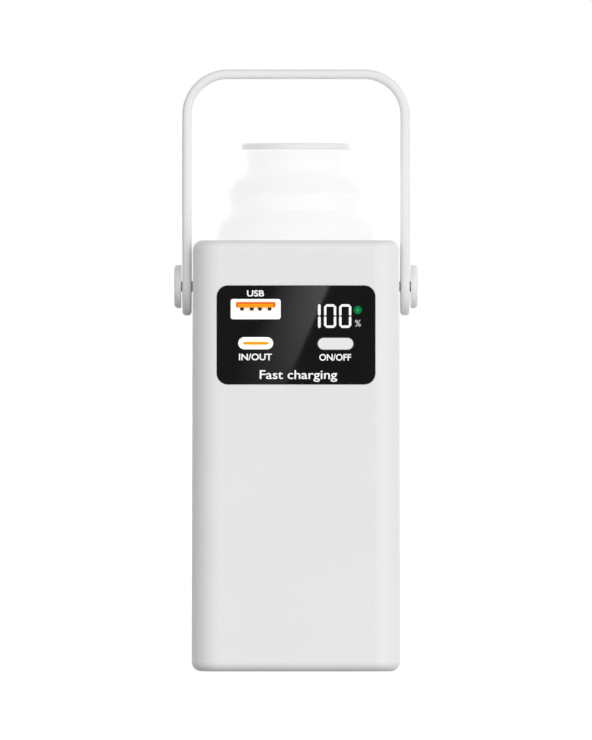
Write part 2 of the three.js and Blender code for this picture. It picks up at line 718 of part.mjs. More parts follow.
// One side's pivot, drawn for the +X side about its own axis.
function pivot(side) {
  const armOut = HANDLE.inner + HANDLE.thickness;
  const hubIn = armOut + GAP;
  const hubOut = hubIn + HUB.thickness;
  const headIn = hubIn + 0.05;
  const nutOut = PIVOT_BOSS.inner - GAP;
  const nutIn = nutOut - PIVOT_NUT.thickness;
  const screw = join(
    rodX(PIVOT.screwRadius, nutIn - 1, headIn + 0.5),
    rodX(PIVOT.headRadius, headIn, headIn + PIVOT.headThickness),
  );
  const bush = cut(
    rodX(PIVOT_BUSH.radius, HANDLE.inner, armOut),
    rodX(PIVOT.boreRadius, HANDLE.inner - 1, armOut + 1),
  );
  const hubProfile = [
    [0, 0], [HUB.radius, 0], [HUB.radius, HUB.thickness - HUB.edge],
    [HUB.radius - 0.3 * HUB.edge, HUB.thickness - 0.3 * HUB.edge],
    [HUB.radius - HUB.edge, HUB.thickness], [0, HUB.thickness],
  ];
  const hub = cut(
    solid(turned(hubProfile, ROUND_STEPS).rotateY(Math.PI / 2).translate(hubIn, 0, 0)),
    rodX(PIVOT.headRadius + GAP, hubIn - OVERRUN, hubOut - HUB.cover),
  );
  const nut = cut(
    rodX(PIVOT_NUT.radius, nutIn, nutOut, 0, 6),
    rodX(PIVOT.boreRadius, nutIn - OVERRUN, nutOut + OVERRUN, 0, 24),
  );
  const group = new THREE.Group();
  group.position.z = PIVOT.z;
  group.rotation.z = side === 'left' ? Math.PI : 0;
  group.add(
    piece(`pivot_screw_${side}`, screw, 'steel'),
    piece(`pivot_bush_${side}`, bush, 'whiteInsert'),
    piece(`hub_cap_${side}`, hub, 'housing'),
    piece(`pivot_nut_${side}`, nut, 'nickel'),
  );
  return group;
}

// ---------- Built-in cords ----------

function anchorBar() {
  const outline = roundedRect(ANCHOR.width, ANCHOR.height, ANCHOR.radius, 0, ANCHOR.z);
  return piece('cord_anchor_bar', slab(outline, ANCHOR.face - ANCHOR.thickness, ANCHOR.face, 0.4), 'housing');
}

// The flat cord, with a round top end about the line that it bends on.
function flatCord() {
  const half = CORD.thickness / 2;
  const bend = CORD.top - half;
  const points = [[CORD.y + half, CORD.bottom]];
  for (let i = 0; i <= BEND_STEPS; i += 1) {
    const angle = (Math.PI * i) / BEND_STEPS;
    points.push([CORD.y + half * Math.cos(angle), bend + half * Math.sin(angle)]);
  }
  points.push([CORD.y - half, CORD.bottom]);
  return profileX(points, -CORD.width / 2, CORD.width / 2);
}

// A block with a round-cornered section, standing on its bottom height.
function plugBlock(width, depth, y, radius, zLow, zHigh, edge = 0) {
  return column(roundedRect(width, depth, radius, 0, y), zLow, zHigh, edge);
}

function usbCTip() {
  const { width, depth, radius, wall, mouthDepth } = USB_C_TIP;
  const outside = plugBlock(width, depth, TIP.y, radius, TIP.bottom, TIP.top);
  const mouth = plugBlock(
    width - 2 * wall, depth - 2 * wall, TIP.y, radius - wall, TIP.bottom - OVERRUN, TIP.bottom + mouthDepth,
  );
  return cut(outside, mouth);
}

function phoneTip() {
  const { width, depth, radius } = PHONE_TIP;
  return plugBlock(width, depth, TIP.y, radius, TIP.bottom, TIP.top, 0.5);
}

function cordSet(prefix, x, tip) {
  const collar = plugBlock(COLLAR.width, COLLAR.depth, CORD.y, 1.2, COLLAR.bottom, COLLAR.top);
  const plug = plugBlock(PLUG.width, PLUG.depth, PLUG.y, PLUG.radius, PLUG.bottom, PLUG.top, 0.6);
  const nose = plugBlock(NOSE.width, NOSE.depth, NOSE.y, NOSE.radius, NOSE.bottom, NOSE.top);
  const group = new THREE.Group();
  group.position.x = x;
  group.add(
    piece(`${prefix}_cord`, flatCord(), 'cord'),
    piece(`${prefix}_collar`, collar, 'cord'),
    piece(`${prefix}_plug`, plug, 'cord'),
    piece(`${prefix}_nose`, nose, 'cord'),
    piece(`${prefix}_tip`, tip, 'nickel'),
  );
  return group;
}

// ---------- Assembly ----------

const powerBank = new THREE.Group();
powerBank.add(
  ...housingHalves(),
  frontPanel(),
  powerButton(),
  ...switchPieces(),
  displayModule(),
  socketShell('usb_a_shell', USB_A, USB_A_SHELL),
  socketInsert('usb_a_insert', USB_A, USB_A_SHELL),
  usbATongue(),
  socketShell('usb_c_shell', USB_C, USB_C_SHELL),
  socketInsert('usb_c_insert', USB_C, USB_C_SHELL),
  usbCTongue(),
  mainBoard(),
  ...boardScrews(),
  ...batteryPack(),
  ...wiring(),
  lampWell(),
  ...lampInterior(),
  lampShade(),
  lampCap(),
  handle(),
  pivot('left'),
  pivot('right'),
  anchorBar(),
  cordSet('phone', CORD.x, phoneTip()),
  cordSet('usb_c', -CORD.x, usbCTip()),
);

export default powerBank;
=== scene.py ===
"""Looks of the power bank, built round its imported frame. Sizes are in mm until a mesh is finished."""

import json
import math

import bmesh
import bpy
from mathutils import Matrix, Vector


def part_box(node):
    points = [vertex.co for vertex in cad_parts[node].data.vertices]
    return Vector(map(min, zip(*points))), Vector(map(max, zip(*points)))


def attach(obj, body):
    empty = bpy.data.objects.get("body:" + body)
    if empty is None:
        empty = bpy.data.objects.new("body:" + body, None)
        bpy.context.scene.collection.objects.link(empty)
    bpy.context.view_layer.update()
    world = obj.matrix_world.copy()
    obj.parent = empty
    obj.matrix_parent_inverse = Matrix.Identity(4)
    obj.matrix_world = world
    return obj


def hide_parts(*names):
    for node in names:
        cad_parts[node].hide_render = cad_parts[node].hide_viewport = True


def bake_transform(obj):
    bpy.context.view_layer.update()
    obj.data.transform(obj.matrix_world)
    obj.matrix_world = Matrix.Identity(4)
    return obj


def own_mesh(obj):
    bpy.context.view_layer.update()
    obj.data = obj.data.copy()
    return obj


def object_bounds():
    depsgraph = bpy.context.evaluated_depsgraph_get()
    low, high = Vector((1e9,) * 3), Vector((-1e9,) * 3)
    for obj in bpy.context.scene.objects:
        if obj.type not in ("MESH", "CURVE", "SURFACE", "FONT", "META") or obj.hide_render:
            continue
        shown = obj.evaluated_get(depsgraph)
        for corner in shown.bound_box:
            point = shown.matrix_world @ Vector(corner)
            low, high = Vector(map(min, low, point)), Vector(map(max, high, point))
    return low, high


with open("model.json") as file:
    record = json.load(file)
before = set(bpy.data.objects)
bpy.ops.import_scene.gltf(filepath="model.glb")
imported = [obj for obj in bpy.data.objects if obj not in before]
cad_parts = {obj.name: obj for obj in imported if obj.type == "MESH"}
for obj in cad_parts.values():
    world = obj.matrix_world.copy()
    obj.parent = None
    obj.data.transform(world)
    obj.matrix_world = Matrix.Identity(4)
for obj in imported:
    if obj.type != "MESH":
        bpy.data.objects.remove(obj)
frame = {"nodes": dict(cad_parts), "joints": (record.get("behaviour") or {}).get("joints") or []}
cad_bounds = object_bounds()

MM = 0.001
CORNER_STEPS = 14  # segments in a quarter of a large corner
SMALL_STEPS = 6  # segments in a quarter of a small corner
EDGE_STEPS = 5  # segments across a rounded edge
LAMP_STEPS = 128  # segments round the lantern pieces
HUB_STEPS = 72  # segments round a hub
LEAST_RADIUS = 0.02
OVERRUN = 1.0  # how far a cutter runs past the face it opens


# ---------- Places from the frame ----------


def extent(*nodes):
    """Lowest and highest corner of CAD nodes, in millimetres."""
    boxes = [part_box(node) for node in nodes]
    low = Vector([min(b[0][i] for b in boxes) for i in range(3)]) / MM
    high = Vector([max(b[1][i] for b in boxes) for i in range(3)]) / MM
    return low, high


def joint(name):
    return next(j for j in frame["joints"] if j["name"] == name)


BODY_LOW, BODY_HIGH = extent("front_shell", "back_shell")
FRONT, BACK, DECK = BODY_LOW.y, BODY_HIGH.y, BODY_HIGH.z
BASE_WIDTH = BODY_HIGH.x - BODY_LOW.x
TOP_SHARE = 0.9878  # width of the deck as a share of the width of the base
BODY_RADIUS = 7.5
BODY_EDGE = 2.75
WALL = 2.4
GAP = 0.3

PANEL_LOW, PANEL_HIGH = extent("front_panel")
PANEL_EXTRA = (0.3, 0.2)  # wider and taller than the solid, for a closer gap
PANEL_WIDTH = PANEL_HIGH.x - PANEL_LOW.x + PANEL_EXTRA[0]
PANEL_HEIGHT = PANEL_HIGH.z - PANEL_LOW.z + PANEL_EXTRA[1]
PANEL_GAP, PANEL_EDGE = 0.1, 0.07

PIVOT_Z = joint("handle_swing")["pos_m"][2] / MM


# ---------- Outlines ----------


def arc(x, y, radius, start, end, steps):
    """Points of an arc from start to end, in degrees, both ends included."""
    turns = [math.radians(start + (end - start) * i / steps) for i in range(steps + 1)]
    return [(x + radius * math.cos(t), y + radius * math.sin(t)) for t in turns]


def rounded_rect(width, height, radius, steps=SMALL_STEPS, x=0.0, y=0.0):
    """Counter-clockwise outline of a rectangle with round corners."""
    w, h = width / 2 - radius, height / 2 - radius
    outline = arc(x + w, y - h, radius, -90, 0, steps)
    outline += arc(x + w, y + h, radius, 0, 90, steps)
    outline += arc(x - w, y + h, radius, 90, 180, steps)
    outline += arc(x - w, y - h, radius, 180, 270, steps)
    return outline


def rect_at(width, height, radius, x=0.0, y=0.0, steps=SMALL_STEPS):
    """A function from an inset to the outline of a rectangle with round corners."""
    return lambda inset: rounded_rect(
        width - 2 * inset, height - 2 * inset, max(radius - inset, LEAST_RADIUS), steps, x, y
    )


def filleted(corners, steps=SMALL_STEPS, closed=False):
    """A line through (x, y, radius) corners, each rounded by its radius."""
    count = len(corners)
    line = []
    for i, (x, y, radius) in enumerate(corners):
        at_end = not closed and i in (0, count - 1)
        if radius == 0 or at_end:
            line.append((x, y))
            continue
        here = Vector((x, y))
        before = (Vector(corners[i - 1][:2]) - here).normalized()
        after = (Vector(corners[(i + 1) % count][:2]) - here).normalized()
        half = math.acos(max(-1.0, min(1.0, before.dot(after)))) / 2
        reach = radius / math.tan(half)
        centre = here + (before + after).normalized() * radius / math.sin(half)
        first, last = here + before * reach - centre, here + after * reach - centre
        sweep = first.angle_signed(last)
        for k in range(steps + 1):
            point = centre + Matrix.Rotation(-sweep * k / steps, 2) @ first
            line.append((point.x, point.y))
    return line


def edge_profile(depth, edge, steps=EDGE_STEPS):
    """(distance from the first face, inset) pairs through a plate with both edges rounded."""
    if not edge:
        return [(0, 0), (depth, 0)]
    turns = [math.radians(90 * k / steps) for k in range(steps + 1)]
    first = [(edge * (1 - math.cos(t)), edge * (1 - math.sin(t))) for t in turns]
    return first + [(depth - along, inset) for along, inset in reversed(first)]


def level(outline, z):
    """An (x, y) outline as points at a height."""
    return [(x, y, z) for x, y in outline]


def upright(outline, y):
    """An (x, z) outline as points at a depth."""
    return [(x, y, z) for x, z in outline]


# ---------- Meshes ----------


def skin(rings, looped=False):
    """A closed mesh through rings of points that all have the same count."""
    mesh = bmesh.new()
    rows = [[mesh.verts.new(point) for point in ring] for ring in rings]
    count = len(rows[0])
    pairs = list(zip(rows, rows[1:]))
    if looped:
        pairs.append((rows[-1], rows[0]))
    for lower, upper in pairs:
        for i in range(count):
            j = (i + 1) % count
            mesh.faces.new((lower[i], lower[j], upper[j], upper[i]))
    if not looped:
        mesh.faces.new(list(reversed(rows[0])))
        mesh.faces.new(rows[-1])
    bmesh.ops.recalc_face_normals(mesh, faces=mesh.faces)
    return mesh


def block_z(outline_at, low, high, edge=0.0, steps=EDGE_STEPS, laid=level):
    """A block between two heights. outline_at(inset) gives its outline."""
    profile = edge_profile(high - low, edge, steps)
    return skin([laid(outline_at(inset), low + t) for t, inset in profile])


def slab_y(outline_at, low, high, edge=0.0, steps=EDGE_STEPS):
    """A plate standing between two depths. outline_at(inset) gives its outline."""
    return block_z(outline_at, low, high, edge, steps, upright)


def box_mesh(low, high):
    corners = [(low[0], low[1]), (high[0], low[1]), (high[0], high[1]), (low[0], high[1])]
    return block_z(lambda _: corners, low[2], high[2])


def turned(profile, steps=LAMP_STEPS, axis="Z"):
    """A profile of (radius, height) points turned about Z, or about X. Ends on the axis close it."""
    mesh = bmesh.new()
    rows = []
    turns = [2 * math.pi * i / steps for i in range(steps)]
    for radius, height in profile:
        if radius < 1e-6:
            rows.append([mesh.verts.new((0, 0, height))] * steps)
        else:
            rows.append([mesh.verts.new((radius * math.cos(t), radius * math.sin(t), height)) for t in turns])
    pairs = list(zip(rows, rows[1:]))
    if profile[0][0] > 1e-6:
        pairs.append((rows[-1], rows[0]))
    for lower, upper in pairs:
        for i in range(steps):
            j = (i + 1) % steps
            ring = [lower[i], lower[j], upper[j], upper[i]]
            corners = [v for k, v in enumerate(ring) if v not in ring[:k]]
            if len(corners) > 2:
                mesh.faces.new(corners)
    bmesh.ops.recalc_face_normals(mesh, faces=mesh.faces)
    if axis == "X":
        bmesh.ops.transform(mesh, matrix=Matrix.Rotation(math.radians(90), 4, "Y"), verts=mesh.verts)
    return mesh


def rod(radius, low, high, steps, axis="Z"):
    return turned([(0, low), (radius, low), (radius, high), (0, high)], steps, axis)


def moved(mesh, x=0.0, y=0.0, z=0.0):
    bmesh.ops.translate(mesh, verts=mesh.verts, vec=(x, y, z))
    return mesh


def as_object(name, mesh):
    """Finishes a mesh in metres and puts it in the scene."""
    bmesh.ops.scale(mesh, vec=(MM, MM, MM), verts=mesh.verts)
    data = bpy.data.meshes.new(name)
    mesh.to_mesh(data)
    mesh.free()
    return in_scene(name, data)


def in_scene(name, data):
    made = bpy.data.objects.new(name, data)
    bpy.context.scene.collection.objects.link(made)
    return made


def settle(made):
    """Applies an object's modifiers."""
    graph = bpy.context.evaluated_depsgraph_get()
    data = bpy.data.meshes.new_from_object(made.evaluated_get(graph))
    old = made.data
    made.modifiers.clear()
    made.data = data
    bpy.data.meshes.remove(old)


def combine(made, tools, operation="DIFFERENCE"):
    """Cuts meshes or objects out of an object, or joins them to it, and uses them up."""
    for tool in tools:
        if isinstance(tool, bmesh.types.BMesh):
            tool = as_object("tool", tool)
        modifier = made.modifiers.new("combine", "BOOLEAN")
        modifier.operation = operation
        modifier.solver = "EXACT"
        modifier.object = tool
        settle(made)
        bpy.data.objects.remove(tool)


def smooth(made, angle=35):
    """Shades smoothly except across edges sharper than an angle."""
    made.data.shade_smooth()
    made.data.set_sharp_from_angle(angle=math.radians(angle))
    modifier = made.modifiers.new("weights", "WEIGHTED_NORMAL")
    modifier.keep_sharp = True
    modifier.weight = 80
    settle(made)


def assemble(name, parts):
    """One object from (mesh, material) pairs."""
    whole = bmesh.new()
    materials = []
    for mesh, material in parts:
        if material not in materials:
            materials.append(material)
        for face in mesh.faces:
            face.material_index = materials.index(material)
        data = bpy.data.meshes.new("part")
        mesh.to_mesh(data)
        mesh.free()
        whole.from_mesh(data)
        bpy.data.meshes.remove(data)
    made = as_object(name, whole)
    for material in materials:
        made.data.materials.append(material)
    return made


def show(made, material=None, body="root", replaces=()):
    """Gives a piece its material and its body, and hides the CAD nodes it stands for."""
    if material:
        made.data.materials.clear()
        made.data.materials.append(material)
    if body:
        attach(made, body)
    if replaces:
        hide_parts(*replaces)
    return made


def finished(name, mesh, material, body="root", replaces=(), angle=35):
    """A smooth piece of one material, from its mesh."""
    made = as_object(name, mesh)
    smooth(made, angle)
    return show(made, material, body, replaces)


# ---------- Materials ----------

WHITE = (1, 1, 1, 1)
BLACK = (0, 0, 0, 1)


def srgb(red, green, blue):
    """A linear colour from 8-bit values."""

    def linear(value):
        share = value / 255
        return share / 12.92 if share <= 0.04045 else ((share + 0.055) / 1.055) ** 2.4

    return (linear(red), linear(green), linear(blue), 1.0)


def grey(value):
    return srgb(value, value, value)


def scaled(colour, factor):
    return tuple(min(1.0, channel * factor) for channel in colour[:3]) + (1.0,)


class Tree:
    """A node tree, filled a node at a time."""

    def __init__(self, owner):
        owner.use_nodes = True
        self.tree = owner.node_tree

    def put(self, target, value):
        """Links an input to another node's output, or sets the input's own value."""
        if isinstance(value, bpy.types.NodeSocket):
            self.tree.links.new(value, target)
        else:
            target.default_value = value

    def add(self, kind, inputs=(), **settings):
        """A node with its settings made and its inputs put in."""
        node = self.tree.nodes.new(kind)
        for key, value in settings.items():
            setattr(node, key, value)
        for key, value in dict(inputs).items():
            self.put(node.inputs[key], value)
        return node

    def maths(self, operation, *values):
        return self.add("ShaderNodeMath", enumerate(values), operation=operation).outputs[0]

    def mixed(self, factor, first, second):
        """A colour between two colours."""
        inputs = {"Factor": factor, 6: first, 7: second}
        return self.add("ShaderNodeMix", inputs, data_type="RGBA").outputs[2]


class Nodes(Tree):
    """A material's node tree."""

    def __init__(self, name):
        self.material = bpy.data.materials.new(name)
        super().__init__(self.material)
        self.shader = self.tree.nodes["Principled BSDF"]
        self.place = self.add("ShaderNodeTexCoord").outputs["Object"]

    def set(self, **values):
        """Puts values or outputs in the shader's own sockets, with _ for a space in a name."""
        for key, value in values.items():
            self.put(self.shader.inputs[key.replace("_", " ")], value)

    def noise(self, scale, detail=2.0, rough=0.5, place=None):
        """Noise with this many features to the metre."""
        inputs = {"Vector": place or self.place, "Scale": scale, "Detail": detail, "Roughness": rough}
        return self.add("ShaderNodeTexNoise", inputs).outputs["Fac"]

    def lines(self, scale, detail, rough):
        """Noise drawn out along an axis, by a scale on each axis."""
        stretched = self.add("ShaderNodeMapping", {"Vector": self.place, "Scale": scale})
        return self.noise(1, detail, rough, stretched.outputs["Vector"])

    def ramp(self, value, first, last, low, high):
        """A value brought from between first and last to between low and high."""
        inputs = {"Value": value, "From Min": first, "From Max": last, "To Min": low, "To Max": high}
        return self.add("ShaderNodeMapRange", inputs).outputs["Result"]

    def spread(self, noise, low, high):
        """A noise's middle values brought between low and high."""
        return self.ramp(noise, 0.3, 0.7, low, high)

    def height_of(self, vector):
        return self.add("ShaderNodeSeparateXYZ", {0: vector}).outputs["Z"]

    def clouded(self, scale, detail, first, second):
        """A base colour that drifts between two colours."""
        drift = self.spread(self.noise(scale, detail), 0, 1)
        self.set(Base_Color=self.mixed(drift, first, second))

    def bumps(self, *layers):
        """Stacks (height, strength, distance in mm) layers of bump."""
        below = {}
        for height, strength, distance in layers:
            inputs = {"Height": height, "Strength": strength, "Distance": distance * MM, **below}
            below = {"Normal": self.add("ShaderNodeBump", inputs).outputs["Normal"]}
        self.set(**below)


def moulded(name, colour, roughness, grain=0.6, variation=0.012, glow=0.0, shine=0.5):
    """Moulded plastic with a spark-eroded skin and faint flow in its colour. A glow, when given, paints light
    into it.
    """
    nodes = Nodes(name)
    nodes.clouded(38, 3, scaled(colour, 1 - variation), scaled(colour, 1 + variation))
    skin_noise = nodes.noise(2600, 2, 0.6)
    handled = nodes.spread(nodes.noise(70, 4), -0.04, 0.05)
    own = nodes.spread(skin_noise, roughness - 0.05, roughness + 0.05)
    nodes.bumps((nodes.noise(420, 2), 0.05 * grain, 0.03), (skin_noise, 0.16 * grain, 0.015))
    nodes.set(Roughness=nodes.maths("ADD", handled, own), Specular_IOR_Level=shine)
    # painted light: emission for plastic that is no lamp
    if glow:
        nodes.set(Emission_Color=colour, Emission_Strength=glow)
    return nodes.material


def milky(name, colour, glow, upward_painted_shade):
    """Thin milky silicone that passes light on. Its glow stands for the lit lantern and also evens out its
    light and shade, and it is dimmed where the wall faces up, which paints shade on the upward shoulders.
    """
    nodes = Nodes(name)
    nodes.clouded(60, 3, scaled(colour, 0.985), colour)
    dust = nodes.noise(1900, 3, 0.6)
    nodes.bumps((nodes.noise(300, 2), 0.05, 0.04), (dust, 0.12, 0.02))
    # painted shade: the glow drops on walls that face up
    lean = nodes.height_of(nodes.add("ShaderNodeNewGeometry").outputs["Normal"])
    nodes.set(
        Roughness=nodes.spread(dust, 0.48, 0.6),
        Subsurface_Weight=0.7,
        Subsurface_Radius=(1.0, 0.97, 0.94),
        Subsurface_Scale=5.0 * MM,
        Specular_IOR_Level=0.12,
        Emission_Color=WHITE,
        Emission_Strength=nodes.ramp(lean, 0, 1, glow, glow * (1 - upward_painted_shade)),
    )
    return nodes.material


def gloss_sheet(name):
    """Back-printed clear sheet: near black under a polished face with faint handling marks."""
    nodes = Nodes(name)
    nodes.clouded(90, 3, srgb(28, 28, 29), srgb(30, 30, 31))
    nodes.set(Roughness=nodes.spread(nodes.noise(160, 5, 0.6), 0.02, 0.045))
    nodes.bumps((nodes.noise(30, 1), 0.01, 0.02))
    return nodes.material


def extruded_skin(name, colour, roughness):
    """Soft extruded jacket with faint lines along its length."""
    nodes = Nodes(name)
    nodes.clouded(50, 3, scaled(colour, 0.985), scaled(colour, 1.015))
    lines = nodes.lines((2600, 2600, 60), 2, 0.5)
    nodes.set(Roughness=nodes.spread(lines, roughness - 0.04, roughness + 0.06))
    nodes.bumps((lines, 0.12, 0.02), (nodes.noise(2200, 2), 0.12, 0.015))
    return nodes.material


def drawn_metal(name, colour, roughness, along=(2400, 2400, 90), metallic=1.0):
    """Drawn or stamped metal, brushed along one axis."""
    nodes = Nodes(name)
    nodes.clouded(240, 3, scaled(colour, 0.96), scaled(colour, 1.03))
    lines = nodes.lines(along, 3, 0.55)
    nodes.set(Roughness=nodes.spread(lines, roughness - 0.03, roughness + 0.04), Metallic=metallic)
    nodes.bumps((lines, 0.04, 0.01))
    return nodes.material


def printed(name, colour, glow, roughness=0.06):
    """Screen-printed ink, or a lit window behind the sheet. A glow on ink is painted light."""
    nodes = Nodes(name)
    nodes.clouded(1500, 2, scaled(colour, 0.97), colour)
    nodes.set(Roughness=nodes.spread(nodes.noise(900, 2), 0.85 * roughness, 1.15 * roughness))
    nodes.bumps((nodes.noise(3000, 1), 0.1, 0.01))
    nodes.set(Emission_Color=colour, Emission_Strength=glow)
    return nodes.material


def laminate(name, mask, copper):
    """Circuit board: solder mask with faint tracks under it."""
    nodes = Nodes(name)
    pattern = {"Vector": nodes.place, "Scale": 260, "Mortar Size": 0.06}
    colours = {"Color1": mask, "Color2": scaled(mask, 0.85), "Mortar": copper}
    tracks = nodes.add("ShaderNodeTexBrick", {**pattern, **colours}).outputs
    nodes.set(Base_Color=tracks["Color"], Roughness=nodes.spread(nodes.noise(300, 3), 0.35, 0.5))
    nodes.bumps((tracks["Fac"], 0.2, 0.03))
    return nodes.material


HOUSING = moulded("housing_plastic", grey(233), 0.5)
HANDLE = moulded("handle_plastic", grey(234), 0.46)
CAP_PLASTIC = moulded("cap_plastic", srgb(235, 235, 234), 0.46)
# painted light: the lid is no lamp, yet glows over a grey base so that it looks evenly lit
LID_PAINTED_GLOW = moulded("lid_painted_glow", grey(180), 0.46, glow=0.78)
BUTTON_PLASTIC = moulded("button_plastic", grey(236), 0.42)
# the lit lantern's glow over a greyer base than the silicone has, so the glow also stands in for even light
# across the shade
SILICONE = milky("shade_silicone", srgb(148, 149, 149), 0.665, 0.11)
PANEL_GLOSS = gloss_sheet("panel_gloss")
JACKET = extruded_skin("cord_jacket", grey(233), 0.55)
OVERMOULD = moulded("cord_overmould", grey(234), 0.52, grain=0.8)
PLUG_METAL = drawn_metal("plug_metal", srgb(208, 208, 207), 0.4, metallic=0.7)
# painted light: the white socket parts glow, though they are no lamp, which lights up their shaded insides
WHITE_SOCKET_PAINTED_GLOW = moulded("white_socket_painted_glow", grey(250), 0.4, grain=0.4, glow=0.48)
# painted light: the orange tongues glow, though they are no lamp
TONGUE_PAINTED_GLOW = moulded("socket_orange", srgb(228, 145, 10), 0.5, variation=0.05, glow=0.26, shine=0.12)
# painted shade: a darker, still glowing copy of the tongue's orange, for its top and ends
TONGUE_PAINTED_SHADE = moulded("tongue_orange_painted_shade", srgb(219, 98, 8), 0.5, variation=0.05, glow=0.2, shine=0.12)
BLACK_PLASTIC = moulded("black_plastic", srgb(22, 22, 23), 0.5)
# painted light: the legend ink glows, though print gives off no light
PAINTED_GLOW_INK = printed("legend_painted_glow", grey(250), 0.12, 0.36)
DIGIT_WINDOW = printed("digit_window", grey(246), 0.14)
GREEN_WINDOW = printed("green_window", srgb(6, 124, 60), 0.12)
GREEN_MARK = printed("green_mark", srgb(70, 196, 120), 0.2)
PERCENT_WINDOW = printed("percent_window", grey(176), 0.15)
ALONG_X = (90, 2400, 2400)  # brushing along X

CAD_FINISHES = [
    (moulded("housing_liner", grey(238), 0.5), ["pivot_bush_left", "pivot_bush_right"]),
    (moulded("holder_plastic", srgb(30, 30, 32), 0.6), ["cell_holder_lower", "cell_holder_upper"]),
    (
        moulded("module_plastic", srgb(24, 24, 26), 0.45),
        ["tact_switch", "tact_plunger", "display_module"],
    ),
    (laminate("main_board_laminate", srgb(24, 92, 52), srgb(70, 140, 84)), ["main_board"]),
    (laminate("led_board_laminate", srgb(232, 232, 228), srgb(206, 206, 200)), ["led_board"]),
    (moulded("led_phosphor", srgb(243, 212, 90), 0.6, grain=2, variation=0.06), ["led_emitter"]),
    (moulded("ring_plastic", grey(240), 0.5), ["shade_ring"]),
    (moulded("cell_wrap", srgb(62, 126, 182), 0.35, variation=0.03), [f"cell_{i}" for i in range(1, 5)]),
    (
        drawn_metal("nickel_strip", srgb(214, 212, 204), 0.32, ALONG_X),
        ["contact_strip_lower", "contact_strip_upper", "pivot_nut_left", "pivot_nut_right"],
    ),
    (
        drawn_metal("steel_screw", srgb(200, 200, 204), 0.28, ALONG_X),
        ["pivot_screw_left", "pivot_screw_right"] + [f"board_screw_{i}" for i in range(1, 5)],
    ),
    (extruded_skin("wire_red", srgb(190, 38, 30), 0.5), ["battery_lead_positive", "lamp_lead_positive"]),
    (extruded_skin("wire_black", grey(26), 0.5), ["battery_lead_negative", "lamp_lead_negative"]),
    (extruded_skin("wire_white", srgb(232, 232, 230), 0.5), ["phone_cord_lead", "usb_c_cord_lead"]),
]
for finish, finish_nodes in CAD_FINISHES:
    for node in finish_nodes:
        for material_slot in frame["nodes"][node].material_slots:
            material_slot.material = finish


# ---------- Camera ----------

LENS = 1200  # a long lens, so the view is nearly parallel
SENSOR = 36
FILL = 0.815  # share of the picture's height that the object takes
OBJECT_LOW, OBJECT_HIGH = cad_bounds
MIDDLE_Z = (OBJECT_LOW[2] + OBJECT_HIGH[2]) / 2
VIEW_DISTANCE = (OBJECT_HIGH[2] - OBJECT_LOW[2]) / FILL * LENS / SENSOR

camera_data = bpy.data.cameras.new("camera")
camera_data.lens = LENS
camera_data.sensor_width = SENSOR
camera = in_scene("camera", camera_data)
camera.location = (0, FRONT * MM - VIEW_DISTANCE, MIDDLE_Z)
camera.rotation_euler = (math.radians(90), 0, 0)
bpy.context.scene.camera = camera


# ---------- Built-in cords ----------

CORD_WIDTH = 6.0
CORD_EDGE = 0.55
CORD_STEP = 1.5  # spacing of the rings along a cord
END_RINGS, END_TURN = 6, 14.5  # rings round a cord's top end, and the degrees between them
PATH_STEPS = 24
COLLAR_CORNER, COLLAR_EDGE = 1.2, 0.35
COLLAR_MARK = (4.3, 1.5, 0.3)  # width, height and corner radius
COLLAR_MARK_RISE, COLLAR_MARK_SHIFT = 0.09, -0.2
PLUG_CORNER, PLUG_EDGE = 1.6, 0.6
NOSE_CORNER = 1.2
NOSE_RINGS = ((0.45, 0.25), (0.12, 0.42), (0, 0.6))  # height above the nose's end, and inset
TIP_CORNER, TIP_EDGE, HOLLOW_RADIUS = 1.3, 0.5, 1.2
TIP_WALL, TIP_MOUTH, TIP_LIP = 0.4, 6.0, 0.12
CORE_SIDE, CORE_SINK = 1.1, 0.9  # how far the core stays inside a hollow tip's sides and end
CORE_THICKNESS, CORE_CORNER = 0.55, 0.2


def flat_cord(x, y, z_low, hinge_z, thickness):
    """A flat cord hanging from its hinge line, its top end half round."""
    half = thickness / 2
    straight = hinge_z - z_low
    count = math.ceil(straight / CORD_STEP)
    body = rounded_rect(CORD_WIDTH, thickness, CORD_EDGE, 4, x, y)
    rings = [level(body, z_low + straight * k / count) for k in range(count + 1)]
    for k in range(1, END_RINGS + 1):
        turn = math.radians(END_TURN * k)
        depth = 2 * half * math.cos(turn)
        outline = rounded_rect(CORD_WIDTH, depth, min(CORD_EDGE, 0.45 * depth), 4, x, y)
        rings.append(level(outline, hinge_z + half * math.sin(turn)))
    return skin(rings)


def plan(node, radius):
    """Width, depth, radius, x and y of a rectangle round a CAD node, seen from above."""
    low, high = extent(node)
    return high.x - low.x, high.y - low.y, radius, (low.x + high.x) / 2, (low.y + high.y) / 2


def moulded_block(name, node, radius, edge, body):
    """An overmould with round corners and edges that fills a CAD node's box."""
    low, high = extent(node)
    outline = rect_at(*plan(node, radius))
    return finished(name, block_z(outline, low.z, high.z, edge), OVERMOULD, body, [node])


def collar_mark(prefix, x, body):
    """The low raised pad on a collar."""
    low, high = extent(f"{prefix}_collar")
    width, height, radius = COLLAR_MARK
    outline = rect_at(width, height, radius, x + COLLAR_MARK_SHIFT, (low.z + high.z) / 2)
    mesh = slab_y(outline, high.y - 0.2, high.y + COLLAR_MARK_RISE, 0.06, 2)
    return finished(f"{prefix}_collar_mark", mesh, OVERMOULD, body, [])


def plug_nose(prefix, body):
    """The tapered end of a plug's overmould."""
    low, high = extent(f"{prefix}_nose")
    width, depth, _, x, y = plan(f"{prefix}_nose", 0)
    rings = []
    for z, inset in [(high.z, 0)] + [(low.z + rise, inset) for rise, inset in NOSE_RINGS]:
        radius = NOSE_CORNER - inset / 2
        outline = rounded_rect(width - 2 * inset, depth - 2 * inset, radius, SMALL_STEPS, x, y)
        rings.append(level(outline, z))
    return finished(f"{prefix}_plug_nose", skin(rings), OVERMOULD, body, [f"{prefix}_nose"])


